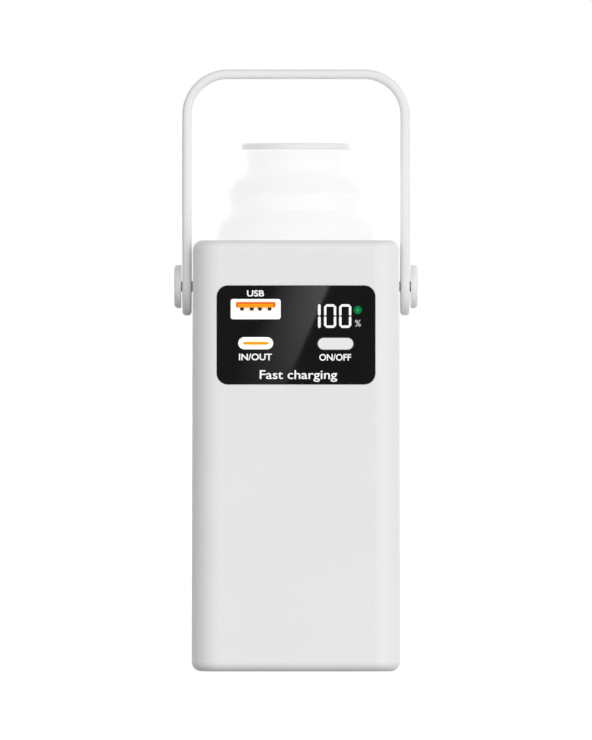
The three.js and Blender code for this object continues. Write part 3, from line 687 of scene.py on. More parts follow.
def hollow_tip(node):
    """A drawn shell with a rolled lip, and the black core inside it."""
    low, high = extent(node)
    width, depth, radius, x, y = plan(node, HOLLOW_RADIUS)
    outline = rect_at(width, depth, radius, x, y)
    heights = [
        (high.z, 0), (low.z + TIP_LIP, 0), (low.z + 0.3 * TIP_LIP, 0.3 * TIP_LIP), (low.z, TIP_LIP),
        (low.z, TIP_WALL - 0.05), (low.z + TIP_LIP, TIP_WALL), (low.z + TIP_MOUTH, TIP_WALL),
    ]
    shell = skin([level(outline(inset), z) for z, inset in heights])
    core_outline = rect_at(width - 2 * CORE_SIDE, CORE_THICKNESS, CORE_CORNER, x, y)
    core = block_z(core_outline, low.z + CORE_SINK, low.z + TIP_MOUTH + 0.1)
    return [(shell, PLUG_METAL), (core, BLACK_PLASTIC)]


def solid_tip(node):
    """A flat metal tongue with two round corners."""
    low, high = extent(node)

    def outline(inset):
        radius = max(TIP_CORNER - inset, 0.2)
        corners = [
            (low.x + inset, low.z + inset, radius),
            (high.x - inset, low.z + inset, radius),
            (high.x - inset, high.z, 0),
            (low.x + inset, high.z, 0),
        ]
        return filleted(corners, SMALL_STEPS, closed=True)

    return [(slab_y(outline, low.y, high.y, TIP_EDGE), PLUG_METAL)]


def metal_tip(prefix, body):
    """The metal end of a plug: a hollow shell on one cord, a solid tongue on the other."""
    node = f"{prefix}_tip"
    tip = assemble(f"{prefix}_metal_tip", hollow_tip(node) if prefix == "usb_c" else solid_tip(node))
    smooth(tip)
    return show(tip, None, body, [f"{prefix}_tip"])


def cord_set(prefix):
    """A cord with its collar, plug, nose and metal tip."""
    body = f"{prefix}_cord_body"
    low, high = extent(f"{prefix}_cord")
    x, y = (low.x + high.x) / 2, (low.y + high.y) / 2
    thickness = high.y - low.y
    hinge_z = high.z - thickness / 2
    mesh = flat_cord(x, y, low.z, hinge_z, thickness)
    cord = finished(f"{prefix}_flat_cord", mesh, JACKET, None, [f"{prefix}_cord"])
    pieces = [
        moulded_block(f"{prefix}_strain_relief", f"{prefix}_collar", COLLAR_CORNER, COLLAR_EDGE, body),
        collar_mark(prefix, x, body),
        moulded_block(f"{prefix}_plug_body", f"{prefix}_plug", PLUG_CORNER, PLUG_EDGE, body),
        plug_nose(prefix, body),
        metal_tip(prefix, body),
    ]
    heights = [high.z + (low.z - high.z) * k / PATH_STEPS for k in range(PATH_STEPS + 1)]
    path = [(x * MM, y * MM, z * MM) for z in heights]
    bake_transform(cord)
    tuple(path[0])


cord_set("phone")
cord_set("usb_c")


# ---------- Housing ----------

MOUTH = 0.22  # rounding where an opening meets the face
CRISP_MOUTH = 0.12  # the same round the panel and in it
SKIM = 0.02  # keeps two cut faces from lying in one plane
GROOVE_WIDTH, GROOVE_FLOOR, GROOVE_RADIUS = 6.6, 23.6, 0.05
COLLAR_SLOT_WIDTH, COLLAR_SLOT_FLOOR, COLLAR_SLOT_RADIUS = 9.7, 22.9, 0.6
POCKET_WIDTH, POCKET_FLOOR, POCKET_TIP_FLOOR, POCKET_RADIUS = 12.9, 21.4, 20.8, 0.7
POCKET_TOP, POCKET_STEP, LEDGE_LOW = 32.5, 16.3, 3.85
BUMP_HEIGHTS = (20.2, 26.8)  # the bumps that hold a plug
BUMP_RISE, BUMP_LENGTH = 0.3, 0.4
SLOT_LOW, SLOT_HIGH, SLOT_FLOOR = 14.4, 16.9, 19.3  # deep slots under a plug's lower corners
SLOT_WIDTH, SLOT_FACE = 2.9, BACK - 2
LAP = 0.2  # keeps the cutters of a pocket overlapping
RAMP_TOP, RAMP_CURVE = 9.6, 5.0  # where the pocket floor turns outward, below a plug's tip
LEDGE_TOP = RAMP_TOP + 2
FOOT_TOP, FOOT_LOW = 7.4, 5.6  # the upright foot of a pocket
FOOT_FACE, FOOT_LEAN, FOOT_RADIUS = 24.0, 0.4, 0.5
BACKING = 1.5  # wall behind a pocket, a groove or the bar
SEAM = 0.2
TONGUE_INSET, TONGUE_REACH = 1.3, 0.8
TONGUE_SIDE_GAP, TONGUE_END_GAP = 0.1, 0.15
PIVOT_HOLE = 1.75

WELL_LOW, WELL_HIGH = extent("lamp_well")
WELL_RIM_RADIUS = (WELL_HIGH.x - WELL_LOW.x) / 2
WELL_RADIUS = WELL_RIM_RADIUS - 1
WELL_RIM, WELL_MOUTH = 0.9, 0.25
BAR_LOW, BAR_HIGH = extent("cord_anchor_bar")
BAR_Z = (BAR_LOW.z + BAR_HIGH.z) / 2
CORD_PLACES = [(extent(n)[0].x + extent(n)[1].x) / 2 for n in ("phone_cord", "usb_c_cord")]
COLLAR_TOP = extent("phone_collar")[1].z


def centre_xz(node):
    low, high = extent(node)
    return (low.x + high.x) / 2, (low.z + high.z) / 2


# Round-cornered rectangles on the front and back: width, height, radius, x and z.
DISH_DEPTH, DISH_SLOPE = 0.4, 0.6
DISH = (34.2, 12.1, 3.0, 0, 99.4)
PANEL = (PANEL_WIDTH, PANEL_HEIGHT, 3.0, 0, (PANEL_LOW.z + PANEL_HIGH.z) / 2)
BAR = (BAR_HIGH.x - BAR_LOW.x, BAR_HIGH.z - BAR_LOW.z, 1.1, 0, BAR_Z)
BUTTON_GAP = 0.15
BUTTON_FACE = (9.75, 3.25, 1.625, *centre_xz("power_button"))


def grown(shape, gap):
    """A rectangle made larger all round."""
    width, height, radius, x, z = shape
    return width + 2 * gap, height + 2 * gap, radius + gap, x, z


PANEL_OPENINGS = (
    (13.8, 5.6, 0.5, *centre_xz("usb_a_shell")),
    (9.7, 3.4, 1.7, *centre_xz("usb_c_shell")),
    grown(BUTTON_FACE, BUTTON_GAP),
)


def housing_block(inset, edge):
    """The housing's outer form, inset all round and a little narrower at the deck."""
    width, depth = BASE_WIDTH - 2 * inset, BACK - FRONT - 2 * inset
    outline = rect_at(width, depth, BODY_RADIUS - inset, steps=CORNER_STEPS)
    mesh = block_z(outline, inset, DECK - inset, edge, 8)
    for vert in mesh.verts:
        vert.co.x *= 1 - (1 - TOP_SHARE) * vert.co.z / DECK
    return mesh


def flare(side, face, deep, mouth, fall):
    """(y, inset) pairs of a cutter that runs from deep to beyond face and opens out at face.

    side is +1 for a face that looks along +Y and -1 for one that looks along -Y.
    """
    pairs = [(deep, 0.0)]
    for k in range(EDGE_STEPS + 1):
        share = k / EDGE_STEPS
        growth = mouth * (1 - math.sqrt(1 - share * share))
        pairs.append((face - side * fall * (1 - share), -growth))
    pairs.append((face + side * OVERRUN, -mouth))
    return pairs


def opening(shape, side, face, deep, mouth=MOUTH, fall=None, steps=SMALL_STEPS):
    """A cutter for a rectangle with round corners in a face that looks along Y."""
    outline = rect_at(*shape, steps)
    return skin([upright(outline(inset), y) for y, inset in flare(side, face, deep, mouth, fall or mouth)])


def recess(x, width, low, high, radius, floor):
    """A cutter for an opening in the back, between two heights."""
    return opening((width, high - low, radius, x, (low + high) / 2), 1, BACK, floor)


def rim_cutter(radius, z_low):
    """A cutter for a round opening in the deck that has a rounded mouth."""
    profile = [(0, z_low), (radius, z_low)]
    profile += arc(radius + WELL_MOUTH, DECK - WELL_MOUTH, WELL_MOUTH, 180, 90, EDGE_STEPS)
    profile += [(radius + WELL_MOUTH, DECK + OVERRUN), (0, DECK + OVERRUN)]
    return turned(profile)


def pocket_section():
    """A pocket's depth in (y, z): a deeper floor under the tip, curving out to an upright foot."""
    slope = (FOOT_LOW - LEDGE_LOW) / (BACK - FOOT_FACE - FOOT_LEAN)
    corners = [
        (BACK + OVERRUN, LEDGE_LOW - slope * OVERRUN, 0),
        (BACK + OVERRUN, LEDGE_TOP, 0),
        (POCKET_FLOOR, POCKET_STEP, 0),
        (POCKET_TIP_FLOOR, POCKET_STEP - (POCKET_FLOOR - POCKET_TIP_FLOOR), 0),
        (POCKET_TIP_FLOOR, RAMP_TOP, RAMP_CURVE),
        (FOOT_FACE, FOOT_TOP, FOOT_RADIUS),
        (FOOT_FACE + FOOT_LEAN, FOOT_LOW, 0),
    ]
    return filleted(corners, SMALL_STEPS, closed=True)


def pocket_cutters(x):
    """Cutters for one cord's groove, collar slot and plug pocket."""
    half = POCKET_WIDTH / 2
    yield recess(x, GROOVE_WIDTH, COLLAR_TOP + LAP, BAR_Z, GROOVE_RADIUS, GROOVE_FLOOR)
    slot_low, slot_high = POCKET_TOP - OVERRUN, COLLAR_TOP + GAP
    yield recess(x, COLLAR_SLOT_WIDTH, slot_low, slot_high, COLLAR_SLOT_RADIUS, COLLAR_SLOT_FLOOR)
    yield recess(x, POCKET_WIDTH, LEDGE_TOP - LAP, POCKET_TOP, POCKET_RADIUS, POCKET_FLOOR)
    section = pocket_section()
    yield skin([[(px, y, z) for y, z in section] for px in (x - half + SKIM / 2, x + half - SKIM / 2)])
    for side in (-1, 1):
        inner, outer = sorted((x + side * (half - SLOT_WIDTH), x + side * (half - SKIM)))
        yield box_mesh((inner, SLOT_FLOOR, SLOT_LOW), (outer, SLOT_FACE, SLOT_HIGH))
    yield recess(x, POCKET_WIDTH, LEDGE_LOW, LEDGE_TOP + 1, POCKET_RADIUS, BACK - 0.5)


def housing_cutters():
    """Cutters for every opening in the housing."""
    yield rod(WELL_RADIUS + GAP, DECK - WALL - OVERRUN, DECK + OVERRUN, LAMP_STEPS)
    yield rim_cutter(WELL_RIM_RADIUS + GAP, DECK - WELL_RIM - GAP)
    yield opening(grown(PANEL, PANEL_GAP), -1, FRONT, PANEL_HIGH.y + GAP, CRISP_MOUTH, steps=CORNER_STEPS)
    dish = grown(DISH, -DISH_SLOPE)
    yield opening(dish, 1, BACK, BACK - DISH_DEPTH, DISH_SLOPE, DISH_DEPTH - SKIM, CORNER_STEPS)
    yield opening(grown(BAR, GAP), 1, BACK - DISH_DEPTH, BAR_LOW.y - GAP)
    yield moved(rod(PIVOT_HOLE, -BASE_WIDTH, BASE_WIDTH, 32, "X"), z=PIVOT_Z)
    for shape in PANEL_OPENINGS:
        yield opening(grown(shape, GAP), -1, FRONT, FRONT + WALL + OVERRUN, 0.01)
    for x in CORD_PLACES:
        yield from pocket_cutters(x)


def pocket_backing():
    """Walls behind the pockets, grooves and bar, inside the housing."""
    pocket_half = max(CORD_PLACES) + POCKET_WIDTH / 2 + BACKING
    bar_half = (BAR_HIGH.x - BAR_LOW.x) / 2 + BACKING
    return [
        box_mesh((-pocket_half, POCKET_TIP_FLOOR - BACKING, 1), (pocket_half, BACK - 1, POCKET_TOP + 5)),
        box_mesh((-pocket_half, SLOT_FLOOR - 0.8, SLOT_LOW - 1), (pocket_half, BACK - 1, SLOT_HIGH + 1)),
        box_mesh((-bar_half, GROOVE_FLOOR - BACKING, POCKET_TOP), (bar_half, BACK - 1, BAR_HIGH.z + 2)),
    ]


def retaining_bumps(x):
    """Small bumps on a pocket's side walls that hold the plug."""
    half = POCKET_WIDTH / 2
    for side in (-1, 1):
        for z in BUMP_HEIGHTS:
            inner, outer = sorted((x + side * (half - BUMP_RISE), x + side * (half + BUMP_RISE)))
            low = (inner, POCKET_FLOOR + 0.4, z - BUMP_LENGTH / 2)
            yield box_mesh(low, (outer, BACK - 1.1, z + BUMP_LENGTH / 2))


def between(y_low, y_high):
    """A block wider than the object, between two depths."""
    return box_mesh((-DECK, y_low, -DECK), (DECK, y_high, 2 * DECK))


def remainder(mesh, cutter):
    tool = as_object("tool", mesh)
    combine(tool, [cutter])
    return tool


def half_housing(whole, name, node, waste, seam_block, seam_cutter):
    """One half of the housing. What its seam loses is the seam block less its cutter."""
    half = in_scene(name, whole.data.copy())
    combine(half, [waste, remainder(seam_block, seam_cutter)])
    smooth(half, 30)
    show(half, HOUSING, "root", [node])


def shells():
    """The hollow housing, cut in two at its side seam."""
    whole = as_object("housing", housing_block(0, BODY_EDGE))
    combine(whole, [housing_block(WALL, 0)])
    combine(whole, pocket_backing(), "UNION")
    combine(whole, housing_cutters())
    for x in CORD_PLACES:
        combine(whole, retaining_bumps(x), "UNION")
    tongue = housing_block(TONGUE_INSET, 0)
    around = between(-SEAM / 2, TONGUE_REACH + OVERRUN)
    half_housing(whole, "front_housing", "front_shell", between(TONGUE_REACH, DECK), around, tongue)
    groove = housing_block(TONGUE_INSET - TONGUE_SIDE_GAP, 0)
    beyond = between(TONGUE_REACH + TONGUE_END_GAP, DECK)
    half_housing(whole, "back_housing", "back_shell", between(-DECK, SEAM / 2), groove, beyond)
    bpy.data.objects.remove(whole)


shells()


# ---------- Control panel ----------

SOCKET_FLARE = 0.2  # how far a socket's mouth turns outward into its opening
SOCKET_LIP = 0.1
SOCKET_TURN = (0.9, 0.5)  # depths between which the tube turns outward
BLOCK_GAP, BLOCK_EDGE = 0.02, 0.08
TONGUE_THICKNESS = 1.5
TONGUE_CAP, TONGUE_END = 0.42, 0.55  # painted shade: a darker orange along the top and at the ends
CONTACT_PLACES = (-3.8, -1.1, 1.15, 3.8)
CONTACT_WIDTH, CONTACT_HANG, CONTACT_LAP = 1.06, 0.85, 0.3
FLANGE_OVERLAP, FLANGE_THICKNESS = 0.9, 0.8
STEM_RADIUS = 1.6


def panel():
    """The gloss panel with its three openings."""
    outline = rect_at(*PANEL, CORNER_STEPS)
    plate = as_object("control_panel", slab_y(outline, PANEL_LOW.y, PANEL_HIGH.y, PANEL_EDGE))
    deep = PANEL_HIGH.y + OVERRUN
    combine(plate, [opening(shape, -1, PANEL_LOW.y, deep, CRISP_MOUTH) for shape in PANEL_OPENINGS])
    smooth(plate, 30)
    show(plate, PANEL_GLOSS, "root", ["front_panel"])


def socket(prefix, radius, wall):
    """A drawn socket tube with a rolled mouth, and the white block that closes it."""
    low, high = extent(f"{prefix}_shell")
    place = centre_xz(f"{prefix}_shell")
    width, height = high.x - low.x, high.z - low.z
    mouth, lip = low.y, SOCKET_LIP
    walls = [
        (high.y, 0), (mouth + SOCKET_TURN[0], 0), (mouth + SOCKET_TURN[1], -SOCKET_FLARE),
        (mouth + lip, -SOCKET_FLARE), (mouth + 0.3 * lip, 0.3 * lip - SOCKET_FLARE),
        (mouth, lip - SOCKET_FLARE), (mouth, wall - lip / 2), (mouth + lip, wall), (high.y, wall),
    ]
    outline = rect_at(width, height, radius, *place)
    tube = skin([upright(outline(inset), y) for y, inset in walls], looped=True)
    # the socket's tube and block use a glowing white that paints light into the socket
    finished(f"{prefix}_socket_tube", tube, WHITE_SOCKET_PAINTED_GLOW, "root", [f"{prefix}_shell"])

    insert_low, insert_high = extent(f"{prefix}_insert")
    fit = 2 * (wall + BLOCK_GAP)
    outline = rect_at(width - fit, height - fit, radius - wall, *place)
    block = slab_y(outline, insert_low.y, insert_high.y, BLOCK_EDGE)
    finished(f"{prefix}_socket_block", block, WHITE_SOCKET_PAINTED_GLOW, "root", [f"{prefix}_insert"])


def usb_a_tongue():
    """The wide tongue and the contacts that hang below it."""
    low, high = extent("usb_a_tongue")
    x, z = (low.x + high.x) / 2, high.z - TONGUE_THICKNESS / 2
    width = high.x - low.x
    whole = rect_at(width, TONGUE_THICKNESS, 0.22, x, z)
    face_z = z - TONGUE_CAP / 2 - 0.01
    face = rect_at(width - 2 * TONGUE_END, TONGUE_THICKNESS - TONGUE_CAP, 0.2, x, face_z)
    # painted shade: the darker orange rim round the top and ends, with the lit face in front of it
    parts = [
        (slab_y(whole, low.y, high.y, 0.12, 3), TONGUE_PAINTED_SHADE),
        (slab_y(face, low.y - 0.004, high.y, 0.1, 3), TONGUE_PAINTED_GLOW),
    ]
    contact_height = CONTACT_HANG + CONTACT_LAP
    contact_z = high.z - TONGUE_THICKNESS + CONTACT_LAP - contact_height / 2
    for place in CONTACT_PLACES:
        contact = rect_at(CONTACT_WIDTH, contact_height, 0.36, x + place, contact_z)
        parts.append((slab_y(contact, low.y + 0.2, high.y, 0.08, 3), BLACK_PLASTIC))
    tongue = assemble("usb_a_blade", parts)
    smooth(tongue)
    show(tongue, None, "root", ["usb_a_tongue"])


def usb_c_tongue():
    low, high = extent("usb_c_tongue")
    outline = rect_at(high.x - low.x, high.z - low.z, 0.3, *centre_xz("usb_c_tongue"))
    mesh = slab_y(outline, low.y, high.y, 0.12, 3)
    finished("usb_c_blade", mesh, TONGUE_PAINTED_GLOW, "root", ["usb_c_tongue"])


def power_button():
    """The button's cap, the flange that keeps it in, and the stem that presses its switch."""
    low, high = extent("power_button")
    width, height, radius, x, z = BUTTON_FACE
    flange_front = FRONT + WALL + GAP
    flange_back = flange_front + FLANGE_THICKNESS
    flange = rect_at(width + 2 * FLANGE_OVERLAP, height + 2 * FLANGE_OVERLAP, radius, x, z)
    parts = [
        slab_y(rect_at(*BUTTON_FACE, 12), low.y, flange_back, 0.16),
        slab_y(flange, flange_front, flange_back, 0.05, 2),
        slab_y(lambda inset: arc(x, z, STEM_RADIUS - inset, 0, 350, 35), flange_back - 0.1, high.y, 0.1, 2),
    ]
    button = assemble("on_off_button", [(part, BUTTON_PLASTIC) for part in parts])
    smooth(button)
    show(button, None, "button_body", ["power_button"])


panel()
socket("usb_a", 0.45, 0.3)
socket("usb_c", 1.47, 0.25)
usb_a_tongue()
usb_c_tongue()
power_button()


# ---------- Legends and display ----------

INK_THICKNESS = 0.06
INK_FACE = PANEL_LOW.y - 0.03
MARK_RISE = 0.018  # how far the charge mark stands off its lamp
LEGENDS = (  # name, words, left, right, bottom, top and boldness
    ("legend_usb", "USB", -13.45, -8.75, 102.85, 104.6, 0.022),
    ("legend_in_out", "IN/OUT", -15.65, -6.6, 85.35, 87.2, 0.02),
    ("legend_on_off", "ON/OFF", 6.4, 15.1, 85.25, 87.1, 0.02),
    ("legend_fast_charging", "Fast charging", -9.95, 11.3, 79.45, 82.65, 0.01),
)
PERCENT_SIGN = ("percent_mark", "%", 16.15, 17.8, 94.6, 96.45, 0.03)
DIGIT_HEIGHT, DIGIT_WIDTH, DIGIT_STROKE = 6.5, 3.36, 0.68
DIGIT_GAP = 0.26
DIGIT_Z = 97.5
ZERO_PLACES = (9.35, 13.5)
ZERO_CORNER, ZERO_TIP = 0.7, 0.2
ONE_PLACE, ONE_STROKE, ONE_CHAMFER = 6.4, 0.76, 0.26
LAMP_X, LAMP_Z, LAMP_RADIUS = 16.95, 99.15, 1.12
BOLT = [(0.15, 0.65), (-0.4, -0.08), (-0.02, -0.08), (-0.15, -0.65), (0.4, 0.1), (0.02, 0.1)]
BOLT_SCALE = 0.85


def text_mesh(name, text, boldness):
    """Flat lettering on XY, in the font's own size."""
    curve = bpy.data.curves.new(name, "FONT")
    curve.body = text
    curve.offset = boldness
    curve.resolution_u = 6
    source = in_scene(name, curve)
    graph = bpy.context.evaluated_depsgraph_get()
    data = bpy.data.meshes.new_from_object(source.evaluated_get(graph))
    bpy.data.objects.remove(source)
    mesh = bmesh.new()
    mesh.from_mesh(data)
    bpy.data.meshes.remove(data)
    return mesh


def thicken(mesh):
    """Gives a flat sheet that faces -Y a little thickness behind it."""
    faces = list(mesh.faces)
    for face in faces:
        face.smooth = False
    grown_part = bmesh.ops.extrude_face_region(mesh, geom=faces)
    verts = [item for item in grown_part["geom"] if isinstance(item, bmesh.types.BMVert)]
    bmesh.ops.translate(mesh, verts=verts, vec=(0, INK_THICKNESS, 0))
    bmesh.ops.recalc_face_normals(mesh, faces=mesh.faces)


def lettering(material, name, text, x_low, x_high, z_low, z_high, boldness):
    """Flat lettering on the panel, fitted to a width and a height."""
    mesh = text_mesh(name, text, boldness)
    xs = [v.co.x for v in mesh.verts]
    ys = [v.co.y for v in mesh.verts]
    low_x, low_y = min(xs), min(ys)
    x_scale = (x_high - x_low) / (max(xs) - low_x)
    z_scale = (z_high - z_low) / (max(ys) - low_y)
    for vert in mesh.verts:
        x = x_low + (vert.co.x - low_x) * x_scale
        z = z_low + (vert.co.y - low_y) * z_scale
        vert.co = (x, INK_FACE, z)
    thicken(mesh)
    show(as_object(name, mesh), material)


def flat_shape(name, outlines, material):
    """Flat printed shapes on the panel, each given as its (x, z) outline."""
    faces = (INK_FACE, INK_FACE + INK_THICKNESS)
    parts = [(skin([upright(outline, y) for y in faces]), material) for outline in outlines]
    return show(assemble(name, parts))


def bar_outline(x, z, width, height, chamfer):
    """An upright bar with its corners cut."""
    w, h, c = width / 2, height / 2, chamfer
    return [
        (x - w, z - h + c), (x - w + c, z - h), (x + w - c, z - h), (x + w, z - h + c),
        (x + w, z + h - c), (x + w - c, z + h), (x - w + c, z + h), (x - w, z + h - c),
    ]


def half_zero(x, z, height, side):
    """The upper (side 1) or lower (side -1) half of a segment zero, its open end at z."""
    outer, inner = DIGIT_WIDTH / 2, DIGIT_WIDTH / 2 - DIGIT_STROKE
    corner, tip = ZERO_CORNER, ZERO_TIP
    right = [(inner, tip), (inner + tip, 0), (outer - tip * 0.6, 0), (outer, tip)]
    right += [(outer, height - corner), (outer - corner, height)]
    left = [(-px, pz) for px, pz in reversed(right)]
    inside = [(-inner, height - DIGIT_STROKE - 0.1), (-inner + 0.12, height - DIGIT_STROKE)]
    inside += [(-px, pz) for px, pz in reversed(inside)]
    return [(x + px, z + side * pz) for px, pz in right + left + inside]


def display():
    """The figure 100, the charge lamp with its mark, and the per cent sign."""
    half = (DIGIT_HEIGHT - DIGIT_GAP) / 2
    outlines = []
    for side in (1, -1):
        start = DIGIT_Z + side * DIGIT_GAP / 2
        outlines.append(bar_outline(ONE_PLACE, start + side * half / 2, ONE_STROKE, half, ONE_CHAMFER))
        outlines.extend(half_zero(x, start, half, side) for x in ZERO_PLACES)
    flat_shape("display_digits", outlines, DIGIT_WINDOW)
    flat_shape("charge_lamp", [arc(LAMP_X, LAMP_Z, LAMP_RADIUS, 0, 348, 29)], GREEN_WINDOW)
    bolt = [(LAMP_X + BOLT_SCALE * x, LAMP_Z + BOLT_SCALE * z) for x, z in BOLT]
    mark = flat_shape("charge_mark", [bolt], GREEN_MARK)
    mark.data.transform(Matrix.Translation((0, -MARK_RISE * MM, 0)))
    lettering(PERCENT_WINDOW, *PERCENT_SIGN)


for legend in LEGENDS:
    lettering(PAINTED_GLOW_INK, *legend)
display()


# ---------- Lantern ----------

SHADE_LOW, SHADE_HIGH = extent("lamp_shade")
SHADE_BOTTOM, SHADE_TOP = SHADE_LOW.z, SHADE_HIGH.z
SHADE_RADIUS, SHADE_WALL = 22.5, 1.3
SHADE_PROFILE = [
    (SHADE_RADIUS, SHADE_BOTTOM, 0),
    (22.32, 118.9, 5.0),
    (21.2, 122.9, 4.0),
    (17.95, 126.3, 0.55),
    (19.05, 131.0, 0.9),
    (16.75, 134.95, 5.0),
    (13.72, 137.4, 0.7),
    (13.35, SHADE_TOP + 0.3, 0),
]
SHADE_FLANGE, SHADE_MOUTH = 1.1, 18.8  # the flange's thickness and its inner radius
LID_LOW, LID_HIGH = extent("lamp_cap")
LID_BOTTOM, LID_TOP = 143.35, LID_HIGH.z
LID_RADIUS, LID_PLUG_RADIUS = (LID_HIGH.x - LID_LOW.x) / 2, 11.7
LID_EDGE = 0.42
LID_DISH_RADIUS, LID_DISH_DEPTH = 12.6, 0.3
WELL_FLOOR, WELL_INNER = 112.3, WELL_RADIUS - 1
WIRE_HOLE, WIRE_HOLE_PLACES = 0.9, ((-2, 6), (2, 6))


def lamp_shade():
    """The stepped silicone shade of a folding lantern, built at its full height."""
    outside = filleted(SHADE_PROFILE, 8)
    inside = [(radius - SHADE_WALL, z) for radius, z in reversed(outside[1:])]
    flange_top = SHADE_BOTTOM + SHADE_FLANGE
    flange = [(SHADE_RADIUS - SHADE_WALL, flange_top), (SHADE_MOUTH, flange_top), (SHADE_MOUTH, SHADE_BOTTOM)]
    mesh = turned(outside + inside + flange)
    shade = finished("lantern_shade", mesh, SILICONE, "root", ["lamp_shade"], 40)
    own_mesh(shade)


def lamp_cap():
    """The dished lid, with the plug that fits the top of the shade."""
    corners = [
        (LID_PLUG_RADIUS - 1.5, LID_LOW.z, 0),
        (LID_PLUG_RADIUS, LID_LOW.z, 0.3),
        (LID_PLUG_RADIUS, LID_BOTTOM, 0),
        (LID_RADIUS, LID_BOTTOM, LID_EDGE),
        (LID_RADIUS, LID_TOP, LID_EDGE + 0.15),
        (LID_DISH_RADIUS, LID_TOP, 0.3),
        (LID_DISH_RADIUS - 0.5, LID_TOP - LID_DISH_DEPTH, 0.5),
        (0, LID_TOP - LID_DISH_DEPTH, 0),
    ]
    mesh = turned([(0, LID_LOW.z)] + filleted(corners))
    # the lid's material paints light: it glows though it is no lamp
    finished("lantern_cap", mesh, LID_PAINTED_GLOW, "lamp_cap_body", ["lamp_cap"])


def lamp_well():
    """The round well under the lantern, with two holes for its leads."""
    corners = [
        (WELL_RADIUS - 2, WELL_LOW.z, 0),
        (WELL_RADIUS, WELL_LOW.z, 0.5),
        (WELL_RADIUS, DECK - WELL_RIM, 0),
        (WELL_RIM_RADIUS, DECK - WELL_RIM, 0),
        (WELL_RIM_RADIUS, DECK, 0.25),
        (WELL_INNER, DECK, 0.35),
        (WELL_INNER, WELL_FLOOR, 0.4),
        (WELL_INNER - 3, WELL_FLOOR, 0),
    ]
    well = as_object("lantern_well", turned([(0, WELL_LOW.z)] + filleted(corners, 5) + [(0, WELL_FLOOR)]))
    for place in WIRE_HOLE_PLACES:
        combine(well, [moved(rod(WIRE_HOLE, WELL_LOW.z - OVERRUN, WELL_FLOOR + OVERRUN, 24), *place)])
    smooth(well)
    show(well, CAP_PLASTIC, "root", ["lamp_well"])


lamp_well()
lamp_shade()
lamp_cap()


# ---------- Handle ----------

HANDLE_OUT, HANDLE_TOP = extent("handle")[1].x, extent("handle")[1].z
HANDLE_THICKNESS, HANDLE_HALF_WIDTH = 2.55, 6.0
HANDLE_CORNER, HANDLE_EDGE = 12.5, 1.05
EYE_RADIUS, EYE_FILLET, EYE_BORE = 8.0, 12.0, 3.5
BEND_CUTS = 28  # rows of edges across each bent corner
ARM_CUTS = (8, 16, 24, 32)  # rows of edges across each arm, below its corner
HUB_BORE, HUB_COVER = 3.3, 0.55

CROWN = HANDLE_OUT - HANDLE_CORNER  # half the straight run at the top
SHOULDER = CROWN + HANDLE_CORNER * math.pi / 2  # where the arms start
ARM_TOP = HANDLE_TOP - HANDLE_CORNER
EYE_AT = SHOULDER + ARM_TOP - PIVOT_Z


def handle_outline(inset):
    """The strap laid flat, as (along, across), with an eye at each end."""
    width, eye, fillet = HANDLE_HALF_WIDTH - inset, EYE_RADIUS - inset, EYE_FILLET + inset
    rise = HANDLE_HALF_WIDTH + EYE_FILLET
    run = math.sqrt((EYE_RADIUS + EYE_FILLET) ** 2 - rise**2)
    turn = math.degrees(math.atan2(rise, run))
    side = [(0, width)]
    side += arc(EYE_AT - run, rise, fillet, -90, -turn, 10)
    side += arc(EYE_AT, 0, eye, 180 - turn, 0, 40)[1:]
    half = side + [(s, -y) for s, y in reversed(side[:-1])]
    return half + [(-s, y) for s, y in reversed(half[1:-1])]


def bend_handle(along, across, depth):
    """Where a point of the flat strap goes. depth runs inward from the outer face."""
    side = -1 if along < 0 else 1
    along = abs(along)
    if along <= CROWN:
        return side * along, across, HANDLE_TOP - depth
    if along < SHOULDER:
        turn = (along - CROWN) / HANDLE_CORNER
        radius = HANDLE_CORNER - depth
        return side * (CROWN + radius * math.sin(turn)), across, ARM_TOP + radius * math.cos(turn)
    return side * (HANDLE_OUT - depth), across, ARM_TOP - (along - SHOULDER)


def bent(strap):
    """Cuts the flat strap into short lengths and bends them to shape."""
    mesh = bmesh.new()
    mesh.from_mesh(strap.data)
    places = [CROWN + (SHOULDER - CROWN) * k / BEND_CUTS for k in range(BEND_CUTS + 1)]
    places += [SHOULDER + cut for cut in ARM_CUTS] + [CROWN / 2]
    for place in places + [-p for p in places] + [0]:
        geometry = list(mesh.verts) + list(mesh.edges) + list(mesh.faces)
        point = (place * MM, 0, 0)
        bmesh.ops.bisect_plane(mesh, geom=geometry, plane_co=point, plane_no=(1, 0, 0), dist=1e-7)
    for vert in mesh.verts:
        along, across, depth = (value / MM for value in vert.co)
        vert.co = Vector(bend_handle(along, across, depth)) * MM
    bmesh.ops.recalc_face_normals(mesh, faces=mesh.faces)
    mesh.to_mesh(strap.data)
    mesh.free()


def handle():
    """The carrying handle, drilled while it is flat and then bent."""
    profile = edge_profile(HANDLE_THICKNESS, HANDLE_EDGE, 6)
    flat = skin([level(handle_outline(inset), depth) for depth, inset in profile])
    strap = as_object("carrying_handle", flat)
    for x in (-EYE_AT, EYE_AT):
        combine(strap, [moved(rod(EYE_BORE, -OVERRUN, HANDLE_THICKNESS + OVERRUN, 64), x)])
    bent(strap)
    smooth(strap, 40)
    show(strap, HANDLE, "handle_body", ["handle"])


